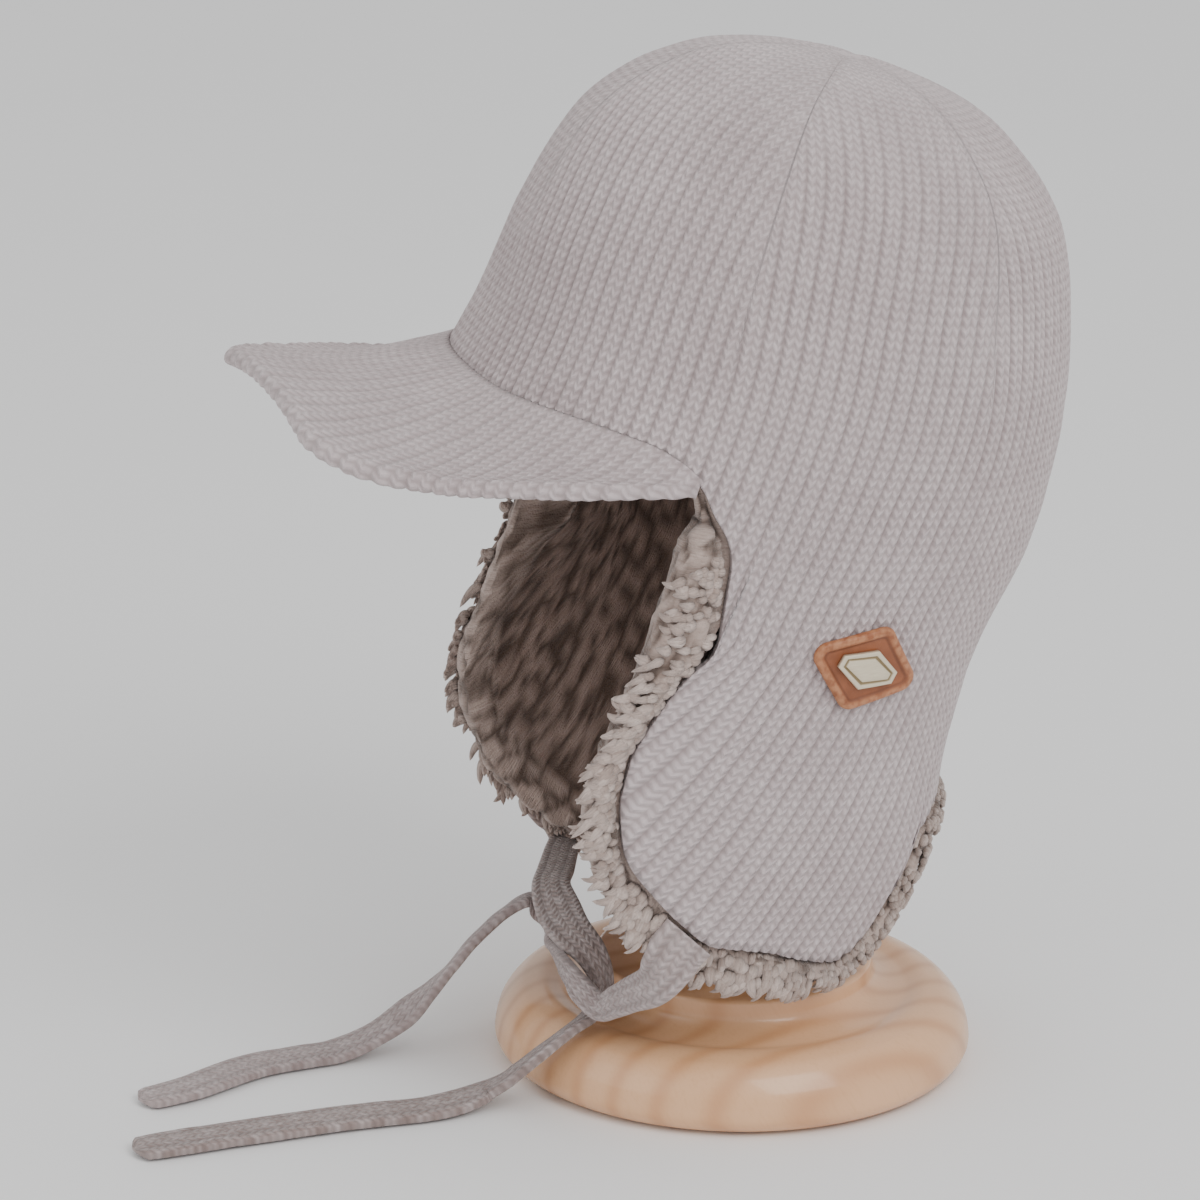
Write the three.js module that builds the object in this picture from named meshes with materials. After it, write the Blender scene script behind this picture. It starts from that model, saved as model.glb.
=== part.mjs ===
// Knit trapper hat on a plain turned stand.
//
// Units are millimetres and +Z is up. The origin is the centre of the stand's foot, on the
// surface that it stands on. The peak points towards -Y and the badge is on the +X side.
//
// The hat leans back on the stand, so its pieces are modelled in a frame of their own. That
// frame has its origin at the pole of the crown and its +Z along the hat's axis. A place on
// the hat is given by an angle round the axis (0 at the front, 90 at the badge side) and by
// a drop, the distance below the pole. One table of sections gives the outer knit surface,
// and every wall of the hat is that surface moved inwards or outwards along its normal.

import * as THREE from 'three';

// Driving dimensions, mm

const CROWN_LENGTH = 217; // outer length of the crown, front to back, at its fullest
const CROWN_WIDTH = 180; // outer width of the crown, side to side, at its fullest
const CROWN_DEPTH = 131; // from the pole down to the seam of the peak
const FLAP_DEPTH = 172; // from the seam of the peak down to the hem of the ear flaps
const HAT_TILT = 15; // degrees that the hat leans back
const POLE_BACK = 34; // how far the pole lies behind the stand's axis
const POLE_HEIGHT = 365.7; // height of the pole above the foot

const KNIT_WALL = 3;
const LINING_WALL = 6;
const TRIM_REACH = 12; // how far the pile of the lining stands past the knit hem
const TRIM_ROLL = 2.2; // how far that pile bulges beyond the knit surface
const CLEARANCE = 0.3; // between pieces that touch

const BRIM_REACH = 69.8; // from the seam to the edge at the front
const BRIM_HALF_WIDTH = 88;
const BRIM_THICKNESS = 6;
const BRIM_SLOPE = 15; // degrees that the peak falls towards its edge
const BRIM_ARCH = 9; // how much lower the sides of the edge are than its middle
const BRIM_SAG = 4.5; // how far the middle of the peak lies below a straight line
const BRIM_HALF_ANGLE = 61.5; // degrees round the hat from the front to a corner

const TIE_WIDTH = 16;
const TIE_THICKNESS = 4;

const PATCH_LENGTH = 50.5; // the long diagonal of the leather patch
const PATCH_HEIGHT = 33.5; // its short diagonal
const PATCH_CORNER = 5; // radius of its corners
const PATCH_THICKNESS = 3.2;
const PATCH_BORDER = 3.2; // width of the raised border
const PATCH_RECESS = 0.8; // how far the field lies below the border
const PLATE_LENGTH = 23;
const PLATE_HEIGHT = 15;
const PLATE_END = 4.4; // length of the two short sides
const PLATE_THICKNESS = 1.5;
const BADGE_ANGLE = 114.5; // degrees round the hat
const BADGE_DROP = 192.5;
const BADGE_TURN = -9.5; // degrees that its long diagonal turns from level

const BASE_RADIUS = 86;
const BASE_HEIGHT = 26.6;
const BOSS_RADIUS = 50;
const BOSS_HEIGHT = 11; // how far the boss stands above the base
const POST_RADIUS = 11;
const POST_FOOT_RADIUS = 18;
const REST_RADIUS = 38; // the domed rest under the crown
const REST_CURVE = 72; // radius of its dome
const REST_RIM = 5; // height of the rim round the dome

// How fine the faces are

const HAT_COLUMNS = 58;
const LINING_INNER_ROWS = 7;
const BRIM_ROWS = 5;
const TIE_STEPS = 40;
const TIE_SIDES = 8;
const PATCH_POINTS = 28;
const BASE_SEGMENTS = 40;
const POST_SEGMENTS = 20;

// Tables

// Level sections of the outer knit surface, from the pole down. The drop of a section is
// crown * CROWN_DEPTH + flap * FLAP_DEPTH. The half length and half width are shares of half
// of CROWN_LENGTH and CROWN_WIDTH, and mid is the share of half of CROWN_LENGTH that the
// section's middle lies behind the axis. square is the exponent of the front half.
const FORM = [
  { crown: 0.0, flap: 0.0, half: 0.0, wide: 0.0, mid: 0.0, square: 2.0 },
  { crown: 0.031, flap: 0.0, half: 0.36, wide: 0.356, mid: 0.006, square: 2.0 },
  { crown: 0.122, flap: 0.0, half: 0.594, wide: 0.622, mid: 0.004, square: 2.0 },
  { crown: 0.29, flap: 0.0, half: 0.794, wide: 0.833, mid: 0.013, square: 2.05 },
  { crown: 0.55, flap: 0.0, half: 0.905, wide: 0.956, mid: 0.02, square: 2.1 },
  { crown: 0.84, flap: 0.0, half: 0.959, wide: 1.0, mid: 0.031, square: 2.3 },
  { crown: 1.0, flap: 0.11, half: 1.0, wide: 0.983, mid: 0.0, square: 2.6 },
  { crown: 1.0, flap: 0.343, half: 0.977, wide: 0.956, mid: -0.049, square: 2.9 },
  { crown: 1.0, flap: 0.576, half: 0.976, wide: 0.928, mid: -0.048, square: 3.1 },
  { crown: 1.0, flap: 0.808, half: 1.012, wide: 0.9, mid: -0.038, square: 3.2 },
  { crown: 1.0, flap: 1.1, half: 0.949, wide: 0.861, mid: -0.076, square: 3.2 },
];
const REAR_SQUARE = 2.2;

// The hem, from the front round to the back of one side. column is the angle at which a
// line of stitches leaves the crown and angle is where it ends. fall is its end below the
// seam, as a share of FLAP_DEPTH. lean and reach are how far the lining's pile stands past
// the knit there, backwards and downwards, as shares of TRIM_REACH, and roll is the share
// of TRIM_ROLL that it bulges.
const HEM = [
  { column: 0, angle: 0, fall: 0.029, lean: 0, reach: 0.08, roll: 0 },
  { column: 29.5, angle: 29.5, fall: 0.029, lean: 0, reach: 0.08, roll: 0 },
  { column: 49.3, angle: 49.3, fall: 0.029, lean: 0, reach: 0.08, roll: 0 },
  { column: 57.2, angle: 57.2, fall: 0.035, lean: 0, reach: 0.12, roll: 0 },
  { column: 62.2, angle: 62.2, fall: 0.064, lean: -0.12, reach: 0.17, roll: 0 },
  { column: 67.1, angle: 67.1, fall: 0.116, lean: -0.4, reach: 0.19, roll: 0.2 },
  { column: 71, angle: 71, fall: 0.151, lean: -1.1, reach: 0.21, roll: 0.9 },
  { column: 73.7, angle: 73.7, fall: 0.189, lean: -1.39, reach: 0.29, roll: 1 },
  { column: 76.4, angle: 76.4, fall: 0.273, lean: -1.6, reach: 0.5, roll: 1 },
  { column: 79, angle: 78.7, fall: 0.38, lean: -1.9, reach: 0.55, roll: 1 },
  { column: 80.5, angle: 74.8, fall: 0.43, lean: -1.54, reach: 0.83, roll: 1 },
  { column: 82.5, angle: 71.3, fall: 0.494, lean: -1.19, reach: 0.92, roll: 1 },
  { column: 85, angle: 68.2, fall: 0.57, lean: -1.03, reach: 0.92, roll: 1 },
  { column: 87.5, angle: 66.3, fall: 0.634, lean: -0.92, reach: 1, roll: 1 },
  { column: 90.5, angle: 66.1, fall: 0.703, lean: -0.8, reach: 0.96, roll: 1 },
  { column: 94.5, angle: 69, fall: 0.802, lean: -0.76, reach: 0.6, roll: 0.8 },
  { column: 98.5, angle: 72.7, fall: 0.852, lean: -0.66, reach: 0.79, roll: 0.2 },
  { column: 104, angle: 79.1, fall: 0.895, lean: -0.36, reach: 1.2, roll: 0 },
  { column: 112, angle: 90.4, fall: 0.953, lean: -0.19, reach: 1.1, roll: 0 },
  { column: 120.5, angle: 102.2, fall: 0.991, lean: 0.1, reach: 1.04, roll: 0.15 },
  { column: 131, angle: 115.7, fall: 0.991, lean: 0.2, reach: 1.2, roll: 0.8 },
  { column: 139.5, angle: 126.4, fall: 1.003, lean: 0.21, reach: 1, roll: 1 },
  { column: 147, angle: 136.8, fall: 1.01, lean: 0.3, reach: 0.7, roll: 1 },
  { column: 151, angle: 142.3, fall: 0.985, lean: 0.66, reach: 0.6, roll: 1 },
  { column: 154, angle: 146.8, fall: 0.87, lean: 0.89, reach: 0.7, roll: 1 },
  { column: 156, angle: 148.7, fall: 0.75, lean: 1.05, reach: 0.67, roll: 1 },
  { column: 159.5, angle: 153.6, fall: 0.698, lean: 0.9, reach: 0.6, roll: 1 },
  { column: 167, angle: 164.7, fall: 0.651, lean: 0.4, reach: 0.67, roll: 1 },
  { column: 180, angle: 180, fall: 0.634, lean: 0, reach: 0.67, roll: 1 },
];
const FAN_FALL = 0.35; // share of FLAP_DEPTH at which the columns start to fan forwards
const FAN_POWER = 1.35;

// Rows of the crown by section number, and rows below them as shares of the way to the hem.
const CROWN_ROWS = [0.45, 0.95, 1.45, 1.95, 2.5, 3.1, 3.8, 4.5];
const SKIRT_ROWS = [0.14, 0.28, 0.42, 0.57, 0.72, 0.87, 1];

// The rolled pile past the hem. way is the share of the way from the hem to the edge of the
// pile, lift is how far the face comes out from under the knit, and depth is the distance
// below that face as a share of LINING_WALL.
const TRIM_SECTION = [
  { way: 0.1, lift: 0, depth: 0 },
  { way: 0.28, lift: 0.75, depth: 0 },
  { way: 0.55, lift: 1, depth: 0 },
  { way: 0.82, lift: 0.8, depth: 0 },
  { way: 0.98, lift: 0.3, depth: 0.1 },
  { way: 1.03, lift: 0, depth: 0.5 },
  { way: 0.93, lift: 0, depth: 1 },
  { way: 0.5, lift: 0, depth: 1.15 },
];

// The edge of the peak from its middle to a corner. turn is the share of BRIM_HALF_ANGLE,
// across is a share of BRIM_HALF_WIDTH, and ahead is how far in front of the corner the edge
// lies, as a share of the distance from a corner to the front of the edge. sink is how far
// the seam lies below its level and thick the thickness, as shares of BRIM_THICKNESS.
const BRIM_EDGE = [
  { turn: 0, across: 0, ahead: 1, sink: 0.3, thick: 1 },
  { turn: 0.2, across: 0.56, ahead: 0.995, sink: 0.3, thick: 1 },
  { turn: 0.32, across: 0.82, ahead: 0.915, sink: 0.25, thick: 1 },
  { turn: 0.42, across: 0.945, ahead: 0.785, sink: 0.15, thick: 1 },
  { turn: 0.6, across: 1.005, ahead: 0.6, sink: 0, thick: 1 },
  { turn: 0.8, across: 1, ahead: 0.36, sink: 0.1, thick: 1 },
  { turn: 0.92, across: 0.997, ahead: 0.17, sink: 0.6, thick: 0.85 },
  { turn: 1, across: 1.005, ahead: 0.02, sink: 1.3, thick: 0.6 },
];

// Turned profile of the base, as shares of BASE_RADIUS and BASE_HEIGHT.
const BASE_EDGE = [
  { out: 0.89, up: 0 },
  { out: 0.962, up: 0.08 },
  { out: 1, up: 0.27 },
  { out: 0.987, up: 0.52 },
  { out: 0.942, up: 0.77 },
  { out: 0.875, up: 0.94 },
  { out: 0.8, up: 1 },
  { out: 0.73, up: 0.955 },
];

// The two ties, end to end, as points chosen by hand on the stand's own axes. The face
// columns are the way that the strap's flat side looks, and wide is a share of TIE_WIDTH.
const TIE_LEFT_ROUTE = [
  { x: 78.4, y: -44.2, z: 77.1, faceX: 1, faceY: 0, faceZ: -0.1, wide: 1.4 },
  { x: 78.4, y: -48.6, z: 72.4, faceX: 1, faceY: -0.1, faceZ: -0.1, wide: 1.32 },
  { x: 77.5, y: -51.8, z: 66.2, faceX: 0.9, faceY: -0.3, faceZ: 0, wide: 1.15 },
  { x: 72, y: -54.8, z: 57.9, faceX: 0.6, faceY: -0.8, faceZ: 0.1, wide: 0.95 },
  { x: 61.1, y: -58.7, z: 50.6, faceX: 0.3, faceY: -0.9, faceZ: 0.1, wide: 0.8 },
  { x: 52.2, y: -62, z: 44.5, faceX: 0.3, faceY: -0.9, faceZ: 0.3, wide: 0.72 },
  { x: 44.1, y: -64.8, z: 39.7, faceX: 0.6, faceY: -0.7, faceZ: 0.4, wide: 0.62 },
  { x: 37.8, y: -68.8, z: 42.9, faceX: 0.6, faceY: -0.7, faceZ: 0.4, wide: 0.6 },
  { x: 30.7, y: -71.3, z: 46.8, faceX: 0.2, faceY: -1, faceZ: 0, wide: 0.6 },
  { x: 16.6, y: -70.6, z: 46.6, faceX: -0.1, faceY: -1, faceZ: -0.2, wide: 0.6 },
  { x: -1.5, y: -66.8, z: 44.9, faceX: -0.4, faceY: -0.5, faceZ: -0.8, wide: 0.6 },
  { x: -10.1, y: -63.4, z: 47.4, faceX: -0.3, faceY: 0.2, faceZ: -0.9, wide: 0.62 },
  { x: -22, y: -62.5, z: 50.5, faceX: -0.2, faceY: 0.5, faceZ: -0.9, wide: 0.8 },
  { x: -28, y: -68.2, z: 53.1, faceX: 0.2, faceY: 0.3, faceZ: -0.9, wide: 0.9 },
  { x: -27.7, y: -78.1, z: 49.2, faceX: 0.4, faceY: 0.4, faceZ: -0.8, wide: 0.95 },
  { x: -27.2, y: -90.2, z: 39.4, faceX: 0.4, faceY: 0.6, faceZ: -0.7, wide: 1 },
  { x: -26.7, y: -97.8, z: 31.1, faceX: 0.4, faceY: 0.6, faceZ: -0.7, wide: 1 },
  { x: -26.6, y: -106.4, z: 22.4, faceX: 0.2, faceY: 0.6, faceZ: -0.8, wide: 1 },
  { x: -26.9, y: -116.4, z: 14, faceX: -0.1, faceY: 0.5, faceZ: -0.9, wide: 1 },
  { x: -27.7, y: -128.6, z: 6.5, faceX: 0, faceY: 0.2, faceZ: -1, wide: 1 },
  { x: -26.9, y: -141.1, z: 2.8, faceX: 0, faceY: 0, faceZ: -1, wide: 1.02 },
  { x: -25.8, y: -152.6, z: 2.6, faceX: 0, faceY: 0, faceZ: -1, wide: 1.02 },
  { x: -22.2, y: -173.5, z: 2.6, faceX: 0, faceY: 0, faceZ: -1, wide: 1.05 },
  { x: -8.5, y: -201, z: 2.6, faceX: 0, faceY: 0, faceZ: -1, wide: 1 },
  { x: -3.4, y: -218.9, z: 2.6, faceX: 0, faceY: 0, faceZ: -1, wide: 0.85 },
];
const TIE_RIGHT_ROUTE = [
  { x: -78.4, y: -44.2, z: 77.1, faceX: -1, faceY: 0, faceZ: -0.1, wide: 1.4 },
  { x: -79, y: -46.5, z: 73.2, faceX: -1, faceY: 0, faceZ: 0, wide: 1.25 },
  { x: -79.8, y: -44.5, z: 67.5, faceX: -1, faceY: 0, faceZ: 0, wide: 1.05 },
  { x: -80.5, y: -41, z: 62, faceX: -1, faceY: 0, faceZ: 0, wide: 0.85 },
  { x: -78, y: -39.5, z: 56.5, faceX: -0.8, faceY: 0, faceZ: -0.5, wide: 0.8 },
  { x: -59.4, y: -47.1, z: 58, faceX: 0, faceY: 0, faceZ: -1, wide: 0.8 },
  { x: -40.2, y: -55, z: 59.2, faceX: -0.2, faceY: 0.1, faceZ: -1, wide: 0.85 },
  { x: -20.1, y: -63.1, z: 60.5, faceX: -0.2, faceY: 0.3, faceZ: -0.9, wide: 0.9 },
  { x: -3.3, y: -65.3, z: 57.9, faceX: -0.2, faceY: 0.5, faceZ: -0.9, wide: 1.02 },
  { x: 12.8, y: -65.5, z: 56, faceX: -0.2, faceY: 0.5, faceZ: -0.9, wide: 0.91 },
  { x: 24.8, y: -62.6, z: 52.7, faceX: -0.5, faceY: 0.4, faceZ: -0.7, wide: 0.74 },
  { x: 29.9, y: -60.4, z: 46.5, faceX: -0.9, faceY: 0.3, faceZ: -0.4, wide: 0.6 },
  { x: 31, y: -59.9, z: 38.9, faceX: -0.6, faceY: 0.5, faceZ: -0.6, wide: 0.5 },
  { x: 33.3, y: -64.2, z: 33, faceX: -0.1, faceY: 0.6, faceZ: -0.8, wide: 0.5 },
  { x: 35.4, y: -74, z: 27.3, faceX: 0.3, faceY: 0.6, faceZ: -0.8, wide: 0.6 },
  { x: 35.6, y: -84, z: 20.6, faceX: 0.3, faceY: 0.6, faceZ: -0.8, wide: 0.75 },
  { x: 33.2, y: -93.1, z: 12.6, faceX: 0.2, faceY: 0.5, faceZ: -0.9, wide: 0.9 },
  { x: 28.5, y: -101.2, z: 5.5, faceX: 0.1, faceY: 0.2, faceZ: -1, wide: 1 },
  { x: 31.3, y: -120.4, z: 2.8, faceX: 0, faceY: 0, faceZ: -1, wide: 1.02 },
  { x: 31.2, y: -151, z: 2.6, faceX: 0, faceY: 0, faceZ: -1, wide: 1.05 },
  { x: 33.4, y: -187.6, z: 2.6, faceX: 0, faceY: 0, faceZ: -1, wide: 1.05 },
  { x: 36, y: -216, z: 2.6, faceX: 0, faceY: 0, faceZ: -1, wide: 1.05 },
  { x: 37.9, y: -230.9, z: 2.6, faceX: 0, faceY: 0, faceZ: -1, wide: 0.9 },
];

// Small helpers

const DEGREE = Math.PI / 180;

// A value between neighbouring rows of a table, on a smooth curve through the rows that
// doesn't overshoot them.
function alongRows(values, places, place) {
  let i = 0;
  while (i < places.length - 2 && place > places[i + 1]) {
    i += 1;
  }
  const span = places[i + 1] - places[i];
  const t = (place - places[i]) / span;
  const slopeAt = (k) => {
    if (k <= 0 || k >= places.length - 1) {
      return (values[Math.min(k + 1, places.length - 1)] - values[Math.max(k - 1, 0)])
        / (places[Math.min(k + 1, places.length - 1)] - places[Math.max(k - 1, 0)]);
    }
    const before = (values[k] - values[k - 1]) / (places[k] - places[k - 1]);
    const after = (values[k + 1] - values[k]) / (places[k + 1] - places[k]);
    return before * after <= 0 ? 0 : (2 * before * after) / (before + after);
  };
  const a = slopeAt(i) * span;
  const b = slopeAt(i + 1) * span;
  const t2 = t * t;
  const t3 = t2 * t;
  return values[i] * (2 * t3 - 3 * t2 + 1) + a * (t3 - 2 * t2 + t)
    + values[i + 1] * (3 * t2 - 2 * t3) + b * (t3 - t2);
}

function rowValue(rows, column, placeColumn, place) {
  return alongRows(rows.map((row) => row[column]), rows.map((row) => row[placeColumn]), place);
}

// A smooth curve through values that stand at 0, 1, 2 and so on. before gives the value at
// -1, so that a section's size can pass through nothing at the pole.
function throughSections(values, before, place) {
  const i = Math.min(Math.floor(place), values.length - 2);
  const t = place - i;
  const p0 = i === 0 ? before : values[i - 1];
  const p1 = values[i];
  const p2 = values[i + 1];
  const p3 = i + 2 < values.length ? values[i + 2] : 2 * p2 - p1;
  return 0.5 * (2 * p1 + (p2 - p0) * t + (2 * p0 - 5 * p1 + 4 * p2 - p3) * t * t
    + (3 * p1 - p0 - 3 * p2 + p3) * t * t * t);
}

// A closed solid through a row of loops with the same number of points. Each face is split
// along its shorter diagonal, and each end is closed by a fan to one point.
function loftGeometry(loops, firstPoint, lastPoint) {
  const count = loops[0].length;
  const positions = [];
  const indices = [];
  loops.forEach((loop) => loop.forEach((p) => positions.push(p.x, p.y, p.z)));
  for (let row = 0; row + 1 < loops.length; row += 1) {
    for (let k = 0; k < count; k += 1) {
      const next = (k + 1) % count;
      const a = row * count + k;
      const b = row * count + next;
      const here = loops[row];
      const below = loops[row + 1];
      if (here[next].distanceTo(below[k]) <= here[k].distanceTo(below[next])) {
        indices.push(a, b, a + count, b, b + count, a + count);
      } else {
        indices.push(a, b, b + count, a, b + count, a + count);
      }
    }
  }
  const first = loops.length * count;
  positions.push(firstPoint.x, firstPoint.y, firstPoint.z);
  positions.push(lastPoint.x, lastPoint.y, lastPoint.z);
  const lastRow = (loops.length - 1) * count;
  for (let k = 0; k < count; k += 1) {
    const next = (k + 1) % count;
    indices.push(first, next, k);
    indices.push(first + 1, lastRow + k, lastRow + next);
  }
  const geometry = new THREE.BufferGeometry();
  geometry.setAttribute('position', new THREE.Float32BufferAttribute(positions, 3));
  geometry.setIndex(indices);
  geometry.computeVertexNormals();
  return geometry;
}

function meanPoint(points) {
  const sum = new THREE.Vector3();
  points.forEach((p) => sum.add(p));
  return sum.divideScalar(points.length);
}

function solid(name, geometry, color, roughness, metalness) {
  const material = new THREE.MeshStandardMaterial({ color, roughness, metalness });
  const mesh = new THREE.Mesh(geometry, material);
  mesh.name = name;
  return mesh;
}

// The hat's surface

const HALF_LENGTH = CROWN_LENGTH / 2;
const HALF_WIDTH = CROWN_WIDTH / 2;
const LAST_SECTION = FORM.length - 1;
const LINING_FACE = KNIT_WALL + CLEARANCE; // depth of the lining's outer face
const LINING_BACK = LINING_FACE + LINING_WALL; // depth of its inner face

const FORM_DROPS = FORM.map((row) => row.crown * CROWN_DEPTH + row.flap * FLAP_DEPTH);
const FORM_HALVES = FORM.map((row) => row.half * HALF_LENGTH);
const FORM_WIDES = FORM.map((row) => row.wide * HALF_WIDTH);
const FORM_MIDS = FORM.map((row) => row.mid * HALF_LENGTH);
const FORM_SQUARES = FORM.map((row) => row.square);

function dropOfSection(section) {
  return throughSections(FORM_DROPS, FORM_DROPS[1], section);
}

// The section number at a drop, by halving the range.
function sectionAtDrop(drop) {
  let low = 0;
  let high = LAST_SECTION;
  for (let step = 0; step < 40; step += 1) {
    const middle = (low + high) / 2;
    if (dropOfSection(middle) < drop) {
      low = middle;
    } else {
      high = middle;
    }
  }
  return (low + high) / 2;
}

// A point of the outer knit surface.
function formPoint(angle, section) {
  const half = throughSections(FORM_HALVES, -FORM_HALVES[1], section);
  const wide = throughSections(FORM_WIDES, -FORM_WIDES[1], section);
  const mid = throughSections(FORM_MIDS, FORM_MIDS[1], section);
  const side = Math.sin(angle * DEGREE);
  const front = Math.cos(angle * DEGREE);
  const frontSquare = throughSections(FORM_SQUARES, FORM_SQUARES[1], section);
  const square = front > 0 ? frontSquare : REAR_SQUARE;
  const span = Math.abs(side / wide) ** square + Math.abs(front / half) ** square;
  const radius = span ** (-1 / square);
  return new THREE.Vector3(radius * side, mid - radius * front, -dropOfSection(section));
}

// A point at a depth below the outer knit surface, along the normal. A negative depth lies
// outside it.
function skinPoint(angle, section, depth) {
  const turn = 0.5;
  const slide = 0.02;
  const level = Math.max(section, 2 * slide);
  const right = formPoint(angle + turn, level).sub(formPoint(angle - turn, level));
  const down = formPoint(angle, level + slide).sub(formPoint(angle, level - slide));
  const outward = new THREE.Vector3().crossVectors(down, right).normalize();
  return formPoint(angle, Math.max(section, 1e-4)).addScaledVector(outward, -depth);
}

function polePoint(depth) {
  return new THREE.Vector3(0, FORM_MIDS[0], -depth);
}

// Columns and the hem

function hemValue(name, column) {
  const place = Math.abs(column);
  return rowValue(HEM, name, 'column', place);
}

function hemDrop(column) {
  return CROWN_DEPTH + hemValue('fall', column) * FLAP_DEPTH;
}

// The angle of a column at a drop. Columns are straight down the crown and fan towards the
// front edge of a flap below it.
function columnAngle(column, drop) {
  const end = hemDrop(column);
  const fanStart = CROWN_DEPTH + FAN_FALL * FLAP_DEPTH;
  const start = Math.min(fanStart, CROWN_DEPTH, end);
  const from = end > fanStart * 1.05 ? fanStart : start;
  const share = Math.max(0, Math.min(1, (drop - from) / Math.max(end - from, 1e-6)));
  const shift = hemValue('angle', column) - Math.abs(column);
  return Math.sign(column || 1) * (Math.abs(column) + shift * share ** FAN_POWER);
}

// Columns for one side of the hat, spread evenly along the hem and round the crown.
function halfColumns(count) {
  const fine = 720;
  const lengths = [0];
  let before = formPoint(0, sectionAtDrop(hemDrop(0)));
  for (let k = 1; k <= fine; k += 1) {
    const column = (180 * k) / fine;
    const section = sectionAtDrop(hemDrop(column));
    const here = formPoint(hemValue('angle', column), section);
    const turned = HALF_WIDTH * (180 / fine) * DEGREE;
    lengths.push(lengths[k - 1] + here.distanceTo(before) + turned);
    before = here;
  }
  const columns = [];
  let k = 0;
  for (let n = 0; n <= count; n += 1) {
    const wanted = (lengths[fine] * n) / count;
    while (k < fine && lengths[k] < wanted) {
      k += 1;
    }
    columns.push((180 * k) / fine);
  }
  return columns;
}

const ONE_SIDE = halfColumns(HAT_COLUMNS / 2);
const COLUMNS = [...ONE_SIDE, ...ONE_SIDE.slice(1, -1).reverse().map((column) => -column)];

// One level loop of the hat at a depth. row counts down from the pole.
function hatLoop(row, depth) {
  if (row < CROWN_ROWS.length) {
    const section = CROWN_ROWS[row];
    return COLUMNS.map((column) => skinPoint(column, section, depth));
  }
  const share = SKIRT_ROWS[row - CROWN_ROWS.length];
  const top = dropOfSection(CROWN_ROWS[CROWN_ROWS.length - 1]);
  return COLUMNS.map((column) => {
    const drop = top + (hemDrop(column) - top) * share;
    return skinPoint(columnAngle(column, drop), sectionAtDrop(drop), depth);
  });
}

const HAT_ROWS = CROWN_ROWS.length + SKIRT_ROWS.length;

// Pieces of the hat

// The knit crown, ear flaps and nape are one shell with no seam between them.
function makeKnitShell() {
  const loops = [];
  for (let row = 0; row < HAT_ROWS; row += 1) {
    loops.push(hatLoop(row, 0));
  }
  for (let row = HAT_ROWS - 1; row >= 0; row -= 1) {
    loops.push(hatLoop(row, KNIT_WALL));
  }
  const geometry = loftGeometry(loops.reverse(), polePoint(KNIT_WALL), polePoint(0));
  return solid('knit_shell', geometry, 0xcdbebf, 0.95, 0);
}

// A loop of the lining's pile where it stands past the knit hem.
function trimLoop({ way, lift, depth }) {
  return COLUMNS.map((column) => {
    const sign = Math.sign(column || 1);
    const drop = hemDrop(column);
    const roll = hemValue('roll', column);
    const lean = (hemValue('lean', column) * TRIM_REACH) / HALF_WIDTH / DEGREE;
    const reach = hemValue('reach', column) * TRIM_REACH;
    const angle = sign * (hemValue('angle', column) + lean * way);
    const face = LINING_FACE - (LINING_FACE + TRIM_ROLL) * lift * roll;
    const section = Math.min(sectionAtDrop(drop + reach * way), LAST_SECTION);
    return skinPoint(angle, section, face + depth * LINING_WALL);
  });
}

// The pile lining follows the knit inside and rolls out past its hem.
function makeLining() {
  const loops = [];
  for (let row = 0; row < HAT_ROWS; row += 1) {
    loops.push(hatLoop(row, LINING_FACE));
  }
  TRIM_SECTION.forEach((row) => loops.push(trimLoop(row)));
  for (let k = 0; k < LINING_INNER_ROWS; k += 1) {
    const row = Math.round((HAT_ROWS - 1) * (1 - k / (LINING_INNER_ROWS - 1)));
    loops.push(hatLoop(row, LINING_BACK));
  }
  const geometry = loftGeometry(loops.reverse(), polePoint(LINING_BACK), polePoint(LINING_FACE));
  return solid('sherpa_lining', geometry, 0xcbb8b0, 1, 0);
}

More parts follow.
